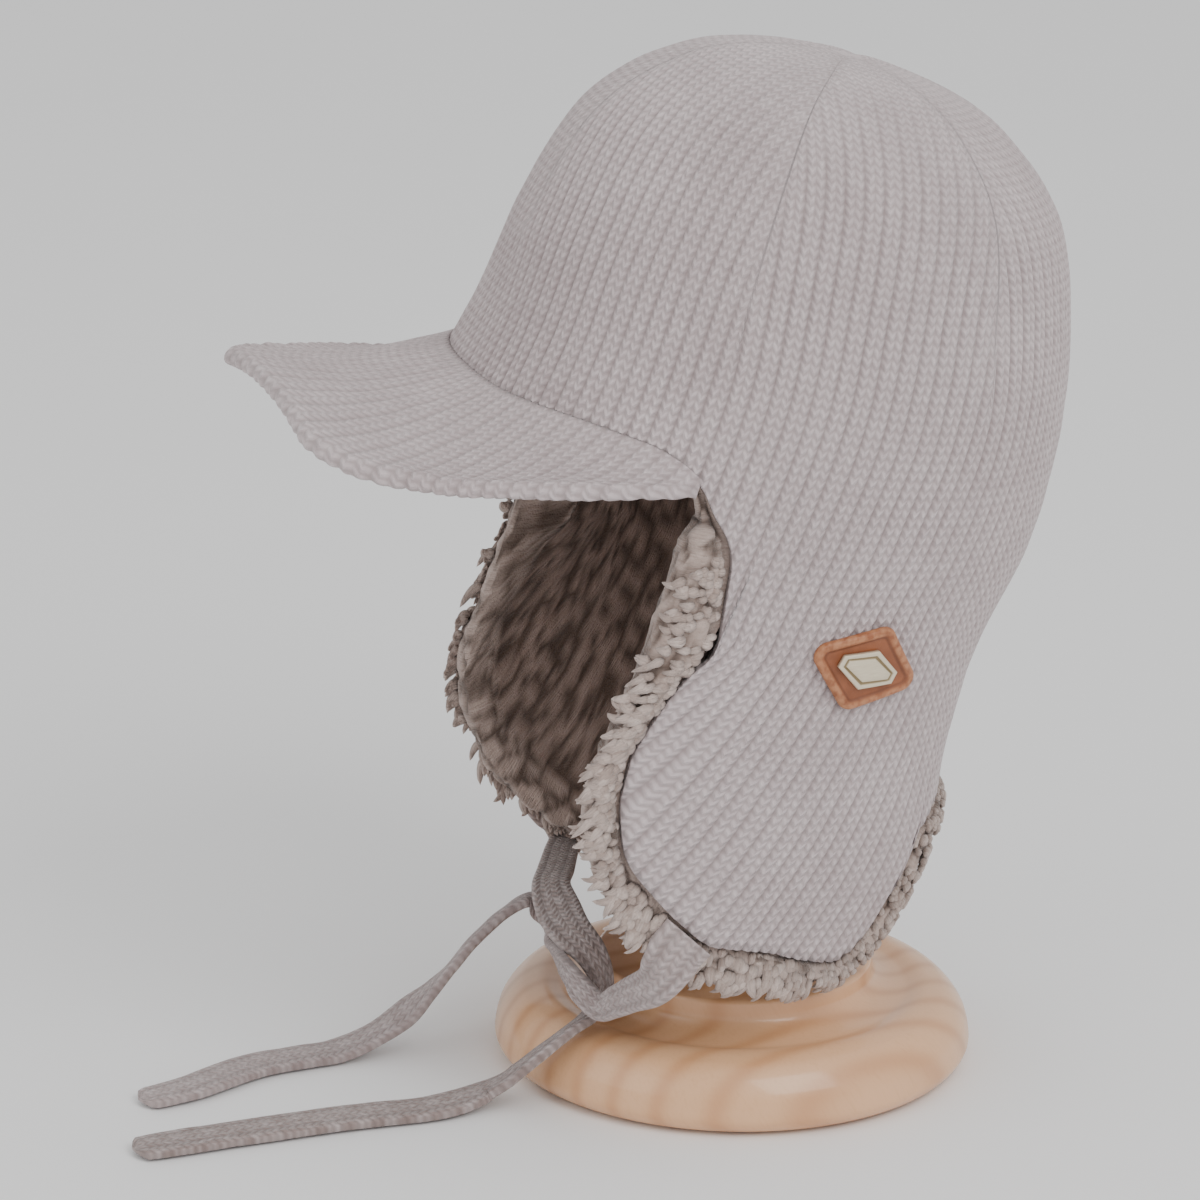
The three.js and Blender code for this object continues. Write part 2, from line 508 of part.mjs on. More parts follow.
// The peak is a stiff curved plate sewn round the front of the crown.
function makeBrim() {
  const seams = ONE_SIDE.filter((column) => column < BRIM_HALF_ANGLE - 2);
  const half = [];
  seams.forEach((column, k) => {
    const next = k + 1 < seams.length ? seams[k + 1] : BRIM_HALF_ANGLE;
    half.push(column, (column + next) / 2);
  });
  half.push(BRIM_HALF_ANGLE);
  const angles = [...half.slice(1).reverse().map((angle) => -angle), ...half];
  const seamSection = sectionAtDrop(CROWN_DEPTH);
  const corner = formPoint(BRIM_HALF_ANGLE, seamSection);
  const nose = formPoint(0, seamSection);
  const wholeAhead = corner.y - (nose.y - BRIM_REACH);
  const loops = angles.map((angle) => {
    const turn = Math.abs(angle) / BRIM_HALF_ANGLE;
    const across = Math.sign(angle) * rowValue(BRIM_EDGE, 'across', 'turn', turn);
    const ahead = rowValue(BRIM_EDGE, 'ahead', 'turn', turn);
    const thickness = rowValue(BRIM_EDGE, 'thick', 'turn', turn) * BRIM_THICKNESS;
    const seamDrop = CROWN_DEPTH + rowValue(BRIM_EDGE, 'sink', 'turn', turn) * BRIM_THICKNESS;
    const top = skinPoint(angle, sectionAtDrop(seamDrop), -1.5 * CLEARANCE);
    const bottom = skinPoint(angle, sectionAtDrop(seamDrop + thickness), -1.5 * CLEARANCE);
    const edgeX = across * BRIM_HALF_WIDTH;
    const edgeY = corner.y - ahead * wholeAhead;
    const run = Math.hypot(edgeX - top.x, edgeY - top.y);
    const fall = Math.tan(BRIM_SLOPE * DEGREE) * run + BRIM_ARCH * across * across;
    const edge = new THREE.Vector3(edgeX, edgeY, -CROWN_DEPTH - fall);
    const sag = BRIM_SAG * Math.min(1, run / (BRIM_REACH / 2));
    const upper = [];
    const lower = [];
    for (let row = 0; row <= BRIM_ROWS; row += 1) {
      const share = (0.965 * row) / BRIM_ROWS;
      const dip = sag * 4 * share * (1 - share);
      upper.push(top.clone().lerp(edge, share).add(new THREE.Vector3(0, 0, -dip)));
      const under = edge.clone().add(new THREE.Vector3(0, 0, -thickness));
      lower.push(bottom.clone().lerp(under, share).add(new THREE.Vector3(0, 0, -dip)));
    }
    const lip = edge.clone().add(new THREE.Vector3(0, 0, -thickness / 2));
    return [...upper, lip, ...lower.reverse()];
  });
  const geometry = loftGeometry(loops, meanPoint(loops[0]), meanPoint(loops[loops.length - 1]));
  return solid('brim', geometry, 0xc8bcbe, 0.95, 0);
}

// The badge

// A point of the badge: along and up are distances on the knit, height is above it.
function badgePoint(along, up, height) {
  const turn = BADGE_TURN * DEGREE;
  const level = along * Math.cos(turn) - up * Math.sin(turn);
  const rise = along * Math.sin(turn) + up * Math.cos(turn);
  const section = sectionAtDrop(BADGE_DROP - rise);
  const radius = formPoint(BADGE_ANGLE, section).length();
  const flat = Math.hypot(formPoint(BADGE_ANGLE, section).x, formPoint(BADGE_ANGLE, section).y);
  const angle = BADGE_ANGLE + level / Math.min(radius, flat) / DEGREE;
  return skinPoint(angle, section, -(CLEARANCE + height));
}

// A lozenge with rounded corners, as points on a circle of directions.
function lozengeOutline(count, inset) {
  const halfLong = PATCH_LENGTH / 2;
  const halfShort = PATCH_HEIGHT / 2;
  const side = Math.hypot(halfLong, halfShort);
  const reach = (halfLong * halfShort) / side - PATCH_CORNER;
  const points = [];
  for (let k = 0; k < count; k += 1) {
    const quarter = Math.floor((4 * k) / count);
    const within = (4 * k) / count - quarter;
    const long = reach / (halfShort / side);
    const short = reach / (halfLong / side);
    const corners = [[long, 0], [0, short], [-long, 0], [0, -short], [long, 0]];
    const normals = [0, 1, 2, 3].map((q) => {
      const sx = q === 0 || q === 3 ? 1 : -1;
      const sy = q < 2 ? 1 : -1;
      return Math.atan2((sy * halfLong) / side, (sx * halfShort) / side);
    });
    const radius = PATCH_CORNER - inset;
    const bend = 0.3;
    let centre = corners[quarter];
    let normal = normals[quarter];
    if (within < bend) {
      const last = normals[(quarter + 3) % 4];
      let swing = normals[quarter] - last;
      while (swing < 0) {
        swing += 2 * Math.PI;
      }
      normal = last + swing * (0.5 + (0.5 * within) / bend);
    } else if (within > 1 - bend) {
      centre = corners[quarter + 1];
      const next = normals[(quarter + 1) % 4];
      let swing = next - normals[quarter];
      while (swing < 0) {
        swing += 2 * Math.PI;
      }
      normal = normals[quarter] + (0.5 * swing * (within - 1 + bend)) / bend;
    } else {
      const share = (within - bend) / (1 - 2 * bend);
      const from = corners[quarter];
      const to = corners[quarter + 1];
      centre = [from[0] + (to[0] - from[0]) * share, from[1] + (to[1] - from[1]) * share];
    }
    points.push([centre[0] + radius * Math.cos(normal), centre[1] + radius * Math.sin(normal)]);
  }
  return points;
}

// A long hexagon with two short upright ends, moved inwards by inset.
function hexagonOutline(inset) {
  const long = PLATE_LENGTH / 2 - inset;
  const high = PLATE_HEIGHT / 2 - inset * 1.15;
  const end = Math.max(PLATE_END / 2 - inset * 0.45, 0.2);
  const corners = [[long, -end], [long, end], [0, high], [-long, end], [-long, -end], [0, -high]];
  const points = [];
  corners.forEach((from, k) => {
    const to = corners[(k + 1) % corners.length];
    [0, 1 / 3, 2 / 3].forEach((share) => {
      points.push([from[0] + (to[0] - from[0]) * share, from[1] + (to[1] - from[1]) * share]);
    });
  });
  return points;
}

function badgeSolid(name, rings, material) {
  const toLoop = ({ outline, scale, height }) => outline.map(
    ([along, up]) => badgePoint(along * scale, up * scale, height),
  );
  const loops = rings.map(toLoop);
  const under = badgePoint(0, 0, rings[0].height);
  const over = badgePoint(0, 0, rings[rings.length - 1].height);
  const geometry = loftGeometry(loops, under, over);
  return solid(name, geometry, material.color, material.roughness, material.metalness);
}

function makePatch() {
  const edge = lozengeOutline(PATCH_POINTS, 0);
  const crest = lozengeOutline(PATCH_POINTS, PATCH_BORDER * 0.3);
  const inner = lozengeOutline(PATCH_POINTS, PATCH_BORDER);
  const field = PATCH_THICKNESS - PATCH_RECESS;
  const rings = [
    { outline: edge, scale: 0.35, height: 0 },
    { outline: edge, scale: 0.7, height: 0 },
    { outline: crest, scale: 1, height: 0 },
    { outline: edge, scale: 1, height: PATCH_THICKNESS * 0.4 },
    { outline: crest, scale: 1, height: PATCH_THICKNESS },
    { outline: inner, scale: 1, height: PATCH_THICKNESS },
    { outline: inner, scale: 0.94, height: field },
    { outline: inner, scale: 0.5, height: field },
  ];
  return badgeSolid('badge_patch', rings, { color: 0x96552f, roughness: 0.45, metalness: 0 });
}

function makePlate() {
  const seat = PATCH_THICKNESS - PATCH_RECESS + CLEARANCE;
  const top = seat + PLATE_THICKNESS;
  const groove = top - 0.4 * PLATE_THICKNESS;
  const rings = [
    { outline: hexagonOutline(0), scale: 0.5, height: seat },
    { outline: hexagonOutline(0), scale: 1, height: seat },
    { outline: hexagonOutline(0), scale: 1, height: top - 0.25 * PLATE_THICKNESS },
    { outline: hexagonOutline(0.4), scale: 1, height: top },
    { outline: hexagonOutline(1.4), scale: 1, height: top },
    { outline: hexagonOutline(1.7), scale: 1, height: groove },
    { outline: hexagonOutline(2.4), scale: 1, height: groove },
    { outline: hexagonOutline(2.7), scale: 1, height: top },
    { outline: hexagonOutline(2.7), scale: 0.5, height: top },
  ];
  return badgeSolid('badge_plate', rings, { color: 0xe2d6be, roughness: 0.35, metalness: 0.6 });
}

// The ties

// A strap's path, whose frames turn its flat side the way that the route says and widen it
// by the route's own share.
class StrapPath extends THREE.CatmullRomCurve3 {
  constructor(route) {
    super(route.map((row) => new THREE.Vector3(row.x, row.y, row.z)), false, 'centripetal');
    this.route = route;
  }

  // Steps are spread evenly by row, so that they are closest where the rows are.
  getUtoTmapping(u) {
    return u;
  }

  computeFrenetFrames(steps) {
    const tangents = [];
    const normals = [];
    const binormals = [];
    const places = this.route.map((row, k) => k);
    for (let k = 0; k <= steps; k += 1) {
      const tangent = this.getTangentAt(k / steps);
      const t = this.getUtoTmapping(k / steps) * (this.route.length - 1);
      const face = new THREE.Vector3(
        alongRows(this.route.map((row) => row.faceX), places, t),
        alongRows(this.route.map((row) => row.faceY), places, t),
        alongRows(this.route.map((row) => row.faceZ), places, t),
      );
      face.addScaledVector(tangent, -face.dot(tangent)).normalize();
      const across = new THREE.Vector3().crossVectors(tangent, face).normalize();
      tangents.push(tangent);
      normals.push(face);
      binormals.push(across.multiplyScalar(alongRows(this.route.map((row) => row.wide), places, t)));
    }
    return { tangents, normals, binormals };
  }
}

function makeTie(name, route) {
  const outline = [];
  for (let k = 0; k < TIE_SIDES; k += 1) {
    const turn = (2 * Math.PI * (k + 0.5)) / TIE_SIDES;
    const thick = Math.cos(turn);
    const wide = Math.sin(turn);
    const bulge = 0.55;
    outline.push(new THREE.Vector2(
      (TIE_THICKNESS / 2) * Math.sign(thick) * Math.abs(thick) ** bulge,
      (TIE_WIDTH / 2) * Math.sign(wide) * Math.abs(wide) ** bulge,
    ));
  }
  const shape = new THREE.Shape(outline);
  const path = new StrapPath(route);
  const options = { steps: TIE_STEPS, extrudePath: path, bevelEnabled: false };
  const geometry = new THREE.ExtrudeGeometry(shape, options);
  return solid(name, geometry, 0xb9abab, 0.95, 0);
}

// The stand

function makeBase() {
  const foot = BASE_EDGE.map(({ out, up }) => new THREE.Vector2(out * BASE_RADIUS, up * BASE_HEIGHT));
  const cove = foot[foot.length - 1];
  const top = BASE_HEIGHT + BOSS_HEIGHT;
  const round = 1.8;
  const profile = [
    new THREE.Vector2(0, 0),
    ...foot,
    new THREE.Vector2(BOSS_RADIUS + (cove.x - BOSS_RADIUS) * 0.45, cove.y + BOSS_HEIGHT * 0.02),
    new THREE.Vector2(BOSS_RADIUS + (cove.x - BOSS_RADIUS) * 0.12, cove.y + BOSS_HEIGHT * 0.3),
    new THREE.Vector2(BOSS_RADIUS, top - BOSS_HEIGHT * 0.35),
    new THREE.Vector2(BOSS_RADIUS, top - round),
    new THREE.Vector2(BOSS_RADIUS - round, top),
    new THREE.Vector2(0, top),
  ];
  return solid('stand_base', turned(profile, BASE_SEGMENTS), 0xdaab80, 0.25, 0);
}

// A turned solid about +Z from a profile of radius and height that starts and ends on the
// axis.
function turned(profile, segments) {
  const geometry = new THREE.LatheGeometry(profile, segments);
  geometry.rotateX(Math.PI / 2);
  return geometry;
}

// How high the domed rest can stand before it meets the lining: the lowest place of the
// lining over the dome, less the dome's own fall there.
function restTop(lining) {
  const place = lining.geometry.getAttribute('position');
  const index = lining.geometry.getIndex();
  const corners = [0, 1, 2].map(() => new THREE.Vector3());
  let lowest = Infinity;
  for (let k = 0; k < index.count; k += 3) {
    corners.forEach((corner, c) => {
      corner.fromBufferAttribute(place, index.getX(k + c)).applyMatrix4(lining.matrixWorld);
    });
    for (let u = 0; u <= 4; u += 1) {
      for (let v = 0; u + v <= 4; v += 1) {
        const at = corners[0].clone().multiplyScalar((4 - u - v) / 4)
          .addScaledVector(corners[1], u / 4)
          .addScaledVector(corners[2], v / 4);
        const out = Math.hypot(at.x, at.y);
        const high = at.z > POLE_HEIGHT - CROWN_DEPTH / 2;
        if (out <= REST_RADIUS && high) {
          const fall = REST_CURVE - Math.sqrt(REST_CURVE * REST_CURVE - out * out);
          lowest = Math.min(lowest, at.z + fall);
        }
      }
    }
  }
  return lowest - CLEARANCE;
}

// The post is one turned piece with a domed rest that carries the crown from inside.
function makePost(top) {
  const foot = BASE_HEIGHT + BOSS_HEIGHT + CLEARANCE;
  const profile = [
    new THREE.Vector2(0, foot),
    new THREE.Vector2(POST_FOOT_RADIUS, foot),
    new THREE.Vector2(POST_FOOT_RADIUS, foot + 3),
    new THREE.Vector2(POST_RADIUS, foot + 14),
  ];
  const dome = [];
  const rings = 5;
  for (let k = rings; k >= 0; k -= 1) {
    const out = (REST_RADIUS * k) / rings;
    const fall = REST_CURVE - Math.sqrt(REST_CURVE * REST_CURVE - out * out);
    dome.push(new THREE.Vector2(out, top - fall));
  }
  const rim = dome[0].y - REST_RIM;
  profile.push(new THREE.Vector2(POST_RADIUS, rim - 26));
  profile.push(new THREE.Vector2(REST_RADIUS * 0.5, rim - 8));
  profile.push(new THREE.Vector2(REST_RADIUS * 0.96, rim));
  profile.push(...dome);
  return solid('stand_post', turned(profile, POST_SEGMENTS), 0xdaab80, 0.3, 0);
}

// The assembly

const hat = new THREE.Group();
hat.position.set(0, POLE_BACK, POLE_HEIGHT);
hat.rotation.x = -HAT_TILT * DEGREE;
const lining = makeLining();
hat.add(makeKnitShell(), lining, makeBrim(), makePatch(), makePlate());
hat.updateMatrixWorld(true);

const object = new THREE.Group();
object.add(hat);
object.add(makeTie('tie_left', TIE_LEFT_ROUTE));
object.add(makeTie('tie_right', TIE_RIGHT_ROUTE));
object.add(makeBase());
object.add(makePost(restTop(lining)));

export default object;
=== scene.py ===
"""Looks of the knit trapper hat on its plain wooden stand.

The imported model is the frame. Each class below makes one sub-assembly from its sizes in
millimetres and replaces the plain solid that stands in the same space. The outer knit
surface is one table of level sections, and every wall of the hat is that surface moved
inwards or outwards along its normal. A place on it is an angle round the hat, 0 at the
front and 90 at the badge side, and a section number from the pole down.
"""

import logging
import math
from dataclasses import dataclass, field
from enum import Enum

import bmesh
import bpy
import numpy as np
from mathutils import Matrix, Vector

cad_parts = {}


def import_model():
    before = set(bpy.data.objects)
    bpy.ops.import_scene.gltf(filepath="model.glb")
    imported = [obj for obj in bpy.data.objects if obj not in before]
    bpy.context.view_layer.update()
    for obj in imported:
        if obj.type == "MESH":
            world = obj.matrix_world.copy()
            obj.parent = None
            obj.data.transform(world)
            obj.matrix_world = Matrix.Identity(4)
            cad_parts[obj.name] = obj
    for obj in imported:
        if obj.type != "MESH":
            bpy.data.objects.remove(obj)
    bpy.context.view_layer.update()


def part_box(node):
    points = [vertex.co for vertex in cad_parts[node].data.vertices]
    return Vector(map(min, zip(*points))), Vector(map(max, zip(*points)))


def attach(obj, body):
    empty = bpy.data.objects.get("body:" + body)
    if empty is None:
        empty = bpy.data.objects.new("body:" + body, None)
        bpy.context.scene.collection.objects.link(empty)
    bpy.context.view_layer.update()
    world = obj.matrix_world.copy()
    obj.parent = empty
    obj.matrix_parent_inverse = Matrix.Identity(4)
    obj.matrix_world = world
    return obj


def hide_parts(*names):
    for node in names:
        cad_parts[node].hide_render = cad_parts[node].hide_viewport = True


LOG = logging.getLogger("trapper_hat")
MM = 0.001
# Point colour layer that the finishes read: red is painted shade in creases and hollows, green is
# lightness with painted light.
SHADE_AND_TONE_LAYER = "finish"
Number = float | np.ndarray

# Level sections of the outer knit surface from the pole down, as in the frame: shares of the
# crown's depth and the flaps' depth, of the half length and half width, how far the middle
# lies back, and the exponent of the front half.
FORM = (
    (0.0, 0.0, 0.0, 0.0, 0.0, 2.0),
    (0.031, 0.0, 0.36, 0.356, 0.006, 2.0),
    (0.122, 0.0, 0.594, 0.622, 0.004, 2.0),
    (0.29, 0.0, 0.794, 0.833, 0.013, 2.05),
    (0.55, 0.0, 0.905, 0.956, 0.02, 2.1),
    (0.84, 0.0, 0.959, 1.0, 0.031, 2.3),
    (1.0, 0.11, 1.0, 0.983, 0.0, 2.6),
    (1.0, 0.343, 0.977, 0.956, -0.049, 2.9),
    (1.0, 0.576, 0.976, 0.928, -0.048, 3.1),
    (1.0, 0.808, 1.012, 0.9, -0.038, 3.2),
    (1.0, 1.1, 0.949, 0.861, -0.076, 3.2),
)

# The hem of one side from the front round to the back: column, the angle where it ends, its
# fall below the seam, and the pile's lean, reach and roll past it.
HEM = (
    (0, 0, 0.029, 0, 0.08, 0),
    (29.5, 29.5, 0.029, 0, 0.08, 0),
    (49.3, 49.3, 0.029, 0, 0.08, 0),
    (57.2, 57.2, 0.035, 0, 0.12, 0),
    (62.2, 62.2, 0.064, -0.12, 0.17, 0),
    (67.1, 67.1, 0.116, -0.4, 0.19, 0.2),
    (71, 71, 0.151, -1.1, 0.21, 0.9),
    (73.7, 73.7, 0.189, -1.39, 0.29, 1),
    (76.4, 76.4, 0.273, -1.6, 0.5, 1),
    (79, 78.7, 0.38, -1.9, 0.55, 1),
    (80.5, 74.8, 0.43, -1.54, 0.83, 1),
    (82.5, 71.3, 0.494, -1.19, 0.92, 1),
    (85, 68.2, 0.57, -1.03, 0.92, 1),
    (87.5, 66.3, 0.634, -0.92, 1, 1),
    (90.5, 66.1, 0.703, -0.8, 0.96, 1),
    (94.5, 69, 0.802, -0.76, 0.6, 0.8),
    (98.5, 72.7, 0.852, -0.66, 0.79, 0.2),
    (104, 79.1, 0.895, -0.36, 1.2, 0),
    (112, 90.4, 0.953, -0.19, 1.1, 0),
    (120.5, 102.2, 0.991, 0.1, 1.04, 0.15),
    (131, 115.7, 0.991, 0.2, 1.2, 0.8),
    (139.5, 126.4, 1.003, 0.21, 1, 1),
    (147, 136.8, 1.01, 0.3, 0.7, 1),
    (151, 142.3, 0.985, 0.66, 0.6, 1),
    (154, 146.8, 0.87, 0.89, 0.7, 1),
    (156, 148.7, 0.75, 1.05, 0.67, 1),
    (159.5, 153.6, 0.698, 0.9, 0.6, 1),
    (167, 164.7, 0.651, 0.4, 0.67, 1),
    (180, 180, 0.634, 0, 0.67, 1),
)

# The peak's edge from its middle to a corner: turn, across, ahead, sink and thickness.
BRIM_EDGE = (
    (0, 0, 1, 0.3, 1),
    (0.2, 0.56, 0.995, 0.3, 1),
    (0.32, 0.82, 0.915, 0.25, 1),
    (0.42, 0.945, 0.785, 0.15, 1),
    (0.6, 1.005, 0.6, 0, 1),
    (0.8, 1, 0.36, 0.1, 1),
    (0.92, 0.997, 0.17, 0.6, 0.85),
    (1, 1.005, 0.02, 1.3, 0.6),
)

# The rolled pile past the hem: way to its edge, lift from under the knit, depth of its body.
TRIM_SECTION = (
    (0.0, 0.0, 0.0),
    (0.1, 0.0, 0.0),
    (0.28, 0.75, 0.0),
    (0.55, 1.0, 0.0),
    (0.82, 0.8, 0.0),
    (0.98, 0.3, 0.1),
    (1.03, 0.0, 0.5),
    (0.93, 0.0, 1.0),
    (0.5, 0.0, 1.15),
    (0.0, 0.0, 1.0),
)

# The turned base, as shares of its radius and height.
BASE_EDGE = (
    (0.89, 0), (0.962, 0.08), (1, 0.27), (0.987, 0.52), (0.942, 0.77), (0.875, 0.94),
    (0.8, 1), (0.73, 0.955),
)

# The two ties' routes in millimetres, as in the frame: place, the way that the flat side
# looks, and the share of the strap's width.
TIE_LEFT_ROUTE = (
    (78.4, -44.2, 77.1, 1, 0, -0.1, 1.4),
    (78.4, -48.6, 72.4, 1, -0.1, -0.1, 1.32),
    (77.5, -51.8, 66.2, 0.9, -0.3, 0, 1.15),
    (72, -54.8, 57.9, 0.6, -0.8, 0.1, 0.95),
    (61.1, -58.7, 50.6, 0.3, -0.9, 0.1, 0.8),
    (52.2, -62, 44.5, 0.3, -0.9, 0.3, 0.72),
    (44.1, -64.8, 39.7, 0.6, -0.7, 0.4, 0.62),
    (37.8, -68.8, 42.9, 0.6, -0.7, 0.4, 0.6),
    (30.7, -71.3, 46.8, 0.2, -1, 0, 0.6),
    (16.6, -70.6, 46.6, -0.1, -1, -0.2, 0.6),
    (-1.5, -66.8, 44.9, -0.4, -0.5, -0.8, 0.6),
    (-10.1, -63.4, 47.4, -0.3, 0.2, -0.9, 0.62),
    (-22, -62.5, 50.5, -0.2, 0.5, -0.9, 0.8),
    (-28, -68.2, 53.1, 0.2, 0.3, -0.9, 0.9),
    (-27.7, -78.1, 49.2, 0.4, 0.4, -0.8, 0.95),
    (-27.2, -90.2, 39.4, 0.4, 0.6, -0.7, 1),
    (-26.7, -97.8, 31.1, 0.4, 0.6, -0.7, 1),
    (-26.6, -106.4, 22.4, 0.2, 0.6, -0.8, 1),
    (-26.9, -116.4, 14, -0.1, 0.5, -0.9, 1),
    (-27.7, -128.6, 6.5, 0, 0.2, -1, 1),
    (-26.9, -141.1, 2.8, 0, 0, -1, 1.02),
    (-25.8, -152.6, 2.6, 0, 0, -1, 1.02),
    (-22.2, -173.5, 2.6, 0, 0, -1, 1.05),
    (-8.5, -201, 2.6, 0, 0, -1, 1),
    (-3.4, -218.9, 2.6, 0, 0, -1, 0.85),
)
TIE_RIGHT_ROUTE = (
    (-78.4, -44.2, 77.1, -1, 0, -0.1, 1.4),
    (-79, -46.5, 73.2, -1, 0, 0, 1.25),
    (-79.8, -44.5, 67.5, -1, 0, 0, 1.05),
    (-80.5, -41, 62, -1, 0, 0, 0.85),
    (-78, -39.5, 56.5, -0.8, 0, -0.5, 0.8),
    (-59.4, -47.1, 58, 0, 0, -1, 0.8),
    (-40.2, -55, 59.2, -0.2, 0.1, -1, 0.85),
    (-20.1, -63.1, 60.5, -0.2, 0.3, -0.9, 0.9),
    (-3.3, -65.3, 57.9, -0.2, 0.5, -0.9, 1.02),
    (12.8, -65.5, 56, -0.2, 0.5, -0.9, 0.91),
    (24.8, -62.6, 52.7, -0.5, 0.4, -0.7, 0.74),
    (29.9, -60.4, 46.5, -0.9, 0.3, -0.4, 0.6),
    (31, -59.9, 38.9, -0.6, 0.5, -0.6, 0.5),
    (33.3, -64.2, 33, -0.1, 0.6, -0.8, 0.5),
    (35.4, -74, 27.3, 0.3, 0.6, -0.8, 0.6),
    (35.6, -84, 20.6, 0.3, 0.6, -0.8, 0.75),
    (33.2, -93.1, 12.6, 0.2, 0.5, -0.9, 0.9),
    (28.5, -101.2, 5.5, 0.1, 0.2, -1, 1),
    (31.3, -120.4, 2.8, 0, 0, -1, 1.02),
    (31.2, -151, 2.6, 0, 0, -1, 1.05),
    (33.4, -187.6, 2.6, 0, 0, -1, 1.05),
    (36, -216, 2.6, 0, 0, -1, 1.05),
    (37.9, -230.9, 2.6, 0, 0, -1, 0.9),
)


class Slot(Enum):
    """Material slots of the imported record."""

    KNIT = "knit"
    PILE = "pile"
    TIE = "tie_knit"
    LEATHER = "leather"
    METAL = "badge_metal"
    WOOD = "stand_wood"


def along_rows(values: np.ndarray, places: np.ndarray, place: Number) -> np.ndarray:
    """Read a table on a smooth curve that doesn't overshoot its rows.

    Args:
        values: The table's values.
        places: Where the rows stand, rising.
        place: Where to read.

    Returns:
        One value for each place.
    """
    values = np.asarray(values, float)
    places = np.asarray(places, float)
    place = np.asarray(place, float)
    steps = np.diff(values) / np.diff(places)
    product = steps[:-1] * steps[1:]
    total = np.where(product > 0, steps[:-1] + steps[1:], 1)
    inner = np.where(product > 0, 2 * product / total, 0)
    slopes = np.concatenate([steps[:1], inner, steps[-1:]])
    i = np.searchsorted(places[1:-1], place, side="left")
    span = places[i + 1] - places[i]
    t = (place - places[i]) / span
    t2 = t * t
    t3 = t2 * t
    ends = values[i] * (2 * t3 - 3 * t2 + 1) + values[i + 1] * (3 * t2 - 2 * t3)
    return ends + slopes[i] * span * (t3 - 2 * t2 + t) + slopes[i + 1] * span * (t3 - t2)


def through_sections(values: np.ndarray, before: float, place: Number) -> np.ndarray:
    """Read values that stand at 0, 1, 2 and so on from a smooth curve through them.

    Args:
        values: The values.
        before: The value at -1.
        place: Where to read.

    Returns:
        One value for each place.
    """
    place = np.asarray(place, float)
    row = np.clip(np.floor(place).astype(int), 0, len(values) - 2)
    t = place - row
    padded = np.concatenate([[before], values, [2 * values[-1] - values[-2]]])
    p0, p1, p2, p3 = (padded[row + k] for k in range(4))
    bend = (2 * p0 - 5 * p1 + 4 * p2 - p3) * t * t
    return 0.5 * (2 * p1 + (p2 - p0) * t + bend + (3 * p1 - p0 - 3 * p2 + p3) * t ** 3)


def unit(vectors: np.ndarray) -> np.ndarray:
    """Scale vectors to length one.

    Args:
        vectors: Vectors in the last axis.

    Returns:
        Vectors of length one.
    """
    return vectors / np.maximum(np.linalg.norm(vectors, axis=-1, keepdims=True), 1e-9)


def colour(red: int, green: int, blue: int) -> tuple[float, float, float, float]:
    """Turn a screen colour into the linear colour that a shader takes.

    Args:
        red: Red, 0 to 255.
        green: Green, 0 to 255.
        blue: Blue, 0 to 255.

    Returns:
        Linear red, green, blue and alpha.
    """
    channels = []
    for channel in (red, green, blue):
        share = channel / 255
        channels.append(share / 12.92 if share <= 0.04045 else ((share + 0.055) / 1.055) ** 2.4)
    return (*channels, 1.0)


class SpaceNoise:
    """Smooth, repeatable noise in space."""

    SIZE = 4096
    MIXERS = (73856093, 19349663, 83492791)

    def __init__(self, seed: int) -> None:
        """Fill the table of values.

        Args:
            seed: Seed of the table.
        """
        random = np.random.default_rng(seed)
        self.values = random.uniform(-1, 1, self.SIZE)
        self.offsets = random.uniform(0.1, 0.9, (self.SIZE, 3))

    def _slot(self, cell: np.ndarray) -> np.ndarray:
        """Number of each cell's row in the table.

        Args:
            cell: Whole numbers of the cells.

        Returns:
            One row number for each cell.
        """
        mixed = cell[..., 0] * self.MIXERS[0] ^ cell[..., 1] * self.MIXERS[1]
        return (mixed ^ cell[..., 2] * self.MIXERS[2]) % self.SIZE

    def smooth(self, points: np.ndarray, cell: float) -> np.ndarray:
        """Noise between -1 and 1.

        Args:
            points: Places in millimetres.
            cell: Size of one bump in millimetres.

        Returns:
            One value for each place.
        """
        place = points / cell
        base = np.floor(place).astype(np.int64)
        share = place - base
        share = share * share * (3 - 2 * share)
        total = np.zeros(points.shape[:-1])
        for corner in np.ndindex(2, 2, 2):
            step = np.array(corner)
            weight = np.prod(np.where(step == 1, share, 1 - share), axis=-1)
            total += weight * self.values[self._slot(base + step)]
        return total

    def clumps(self, points: np.ndarray, cell: float) -> tuple[np.ndarray, np.ndarray]:
        """Rounded clumps with creases between them.

        Args:
            points: Places in millimetres.
            cell: Size of one clump in millimetres.

        Returns:
            The distance to the nearest clump's middle and to the next, in cells.
        """
        place = points / cell
        base = np.floor(place).astype(np.int64)
        first = np.full(points.shape[:-1], 9.0)
        second = np.full(points.shape[:-1], 9.0)
        for corner in np.ndindex(3, 3, 3):
            near = base + np.array(corner) - 1
            away = np.linalg.norm(near + self.offsets[self._slot(near)] - place, axis=-1)
            second = np.minimum(second, np.maximum(first, away))
            first = np.minimum(first, away)
        return first, second


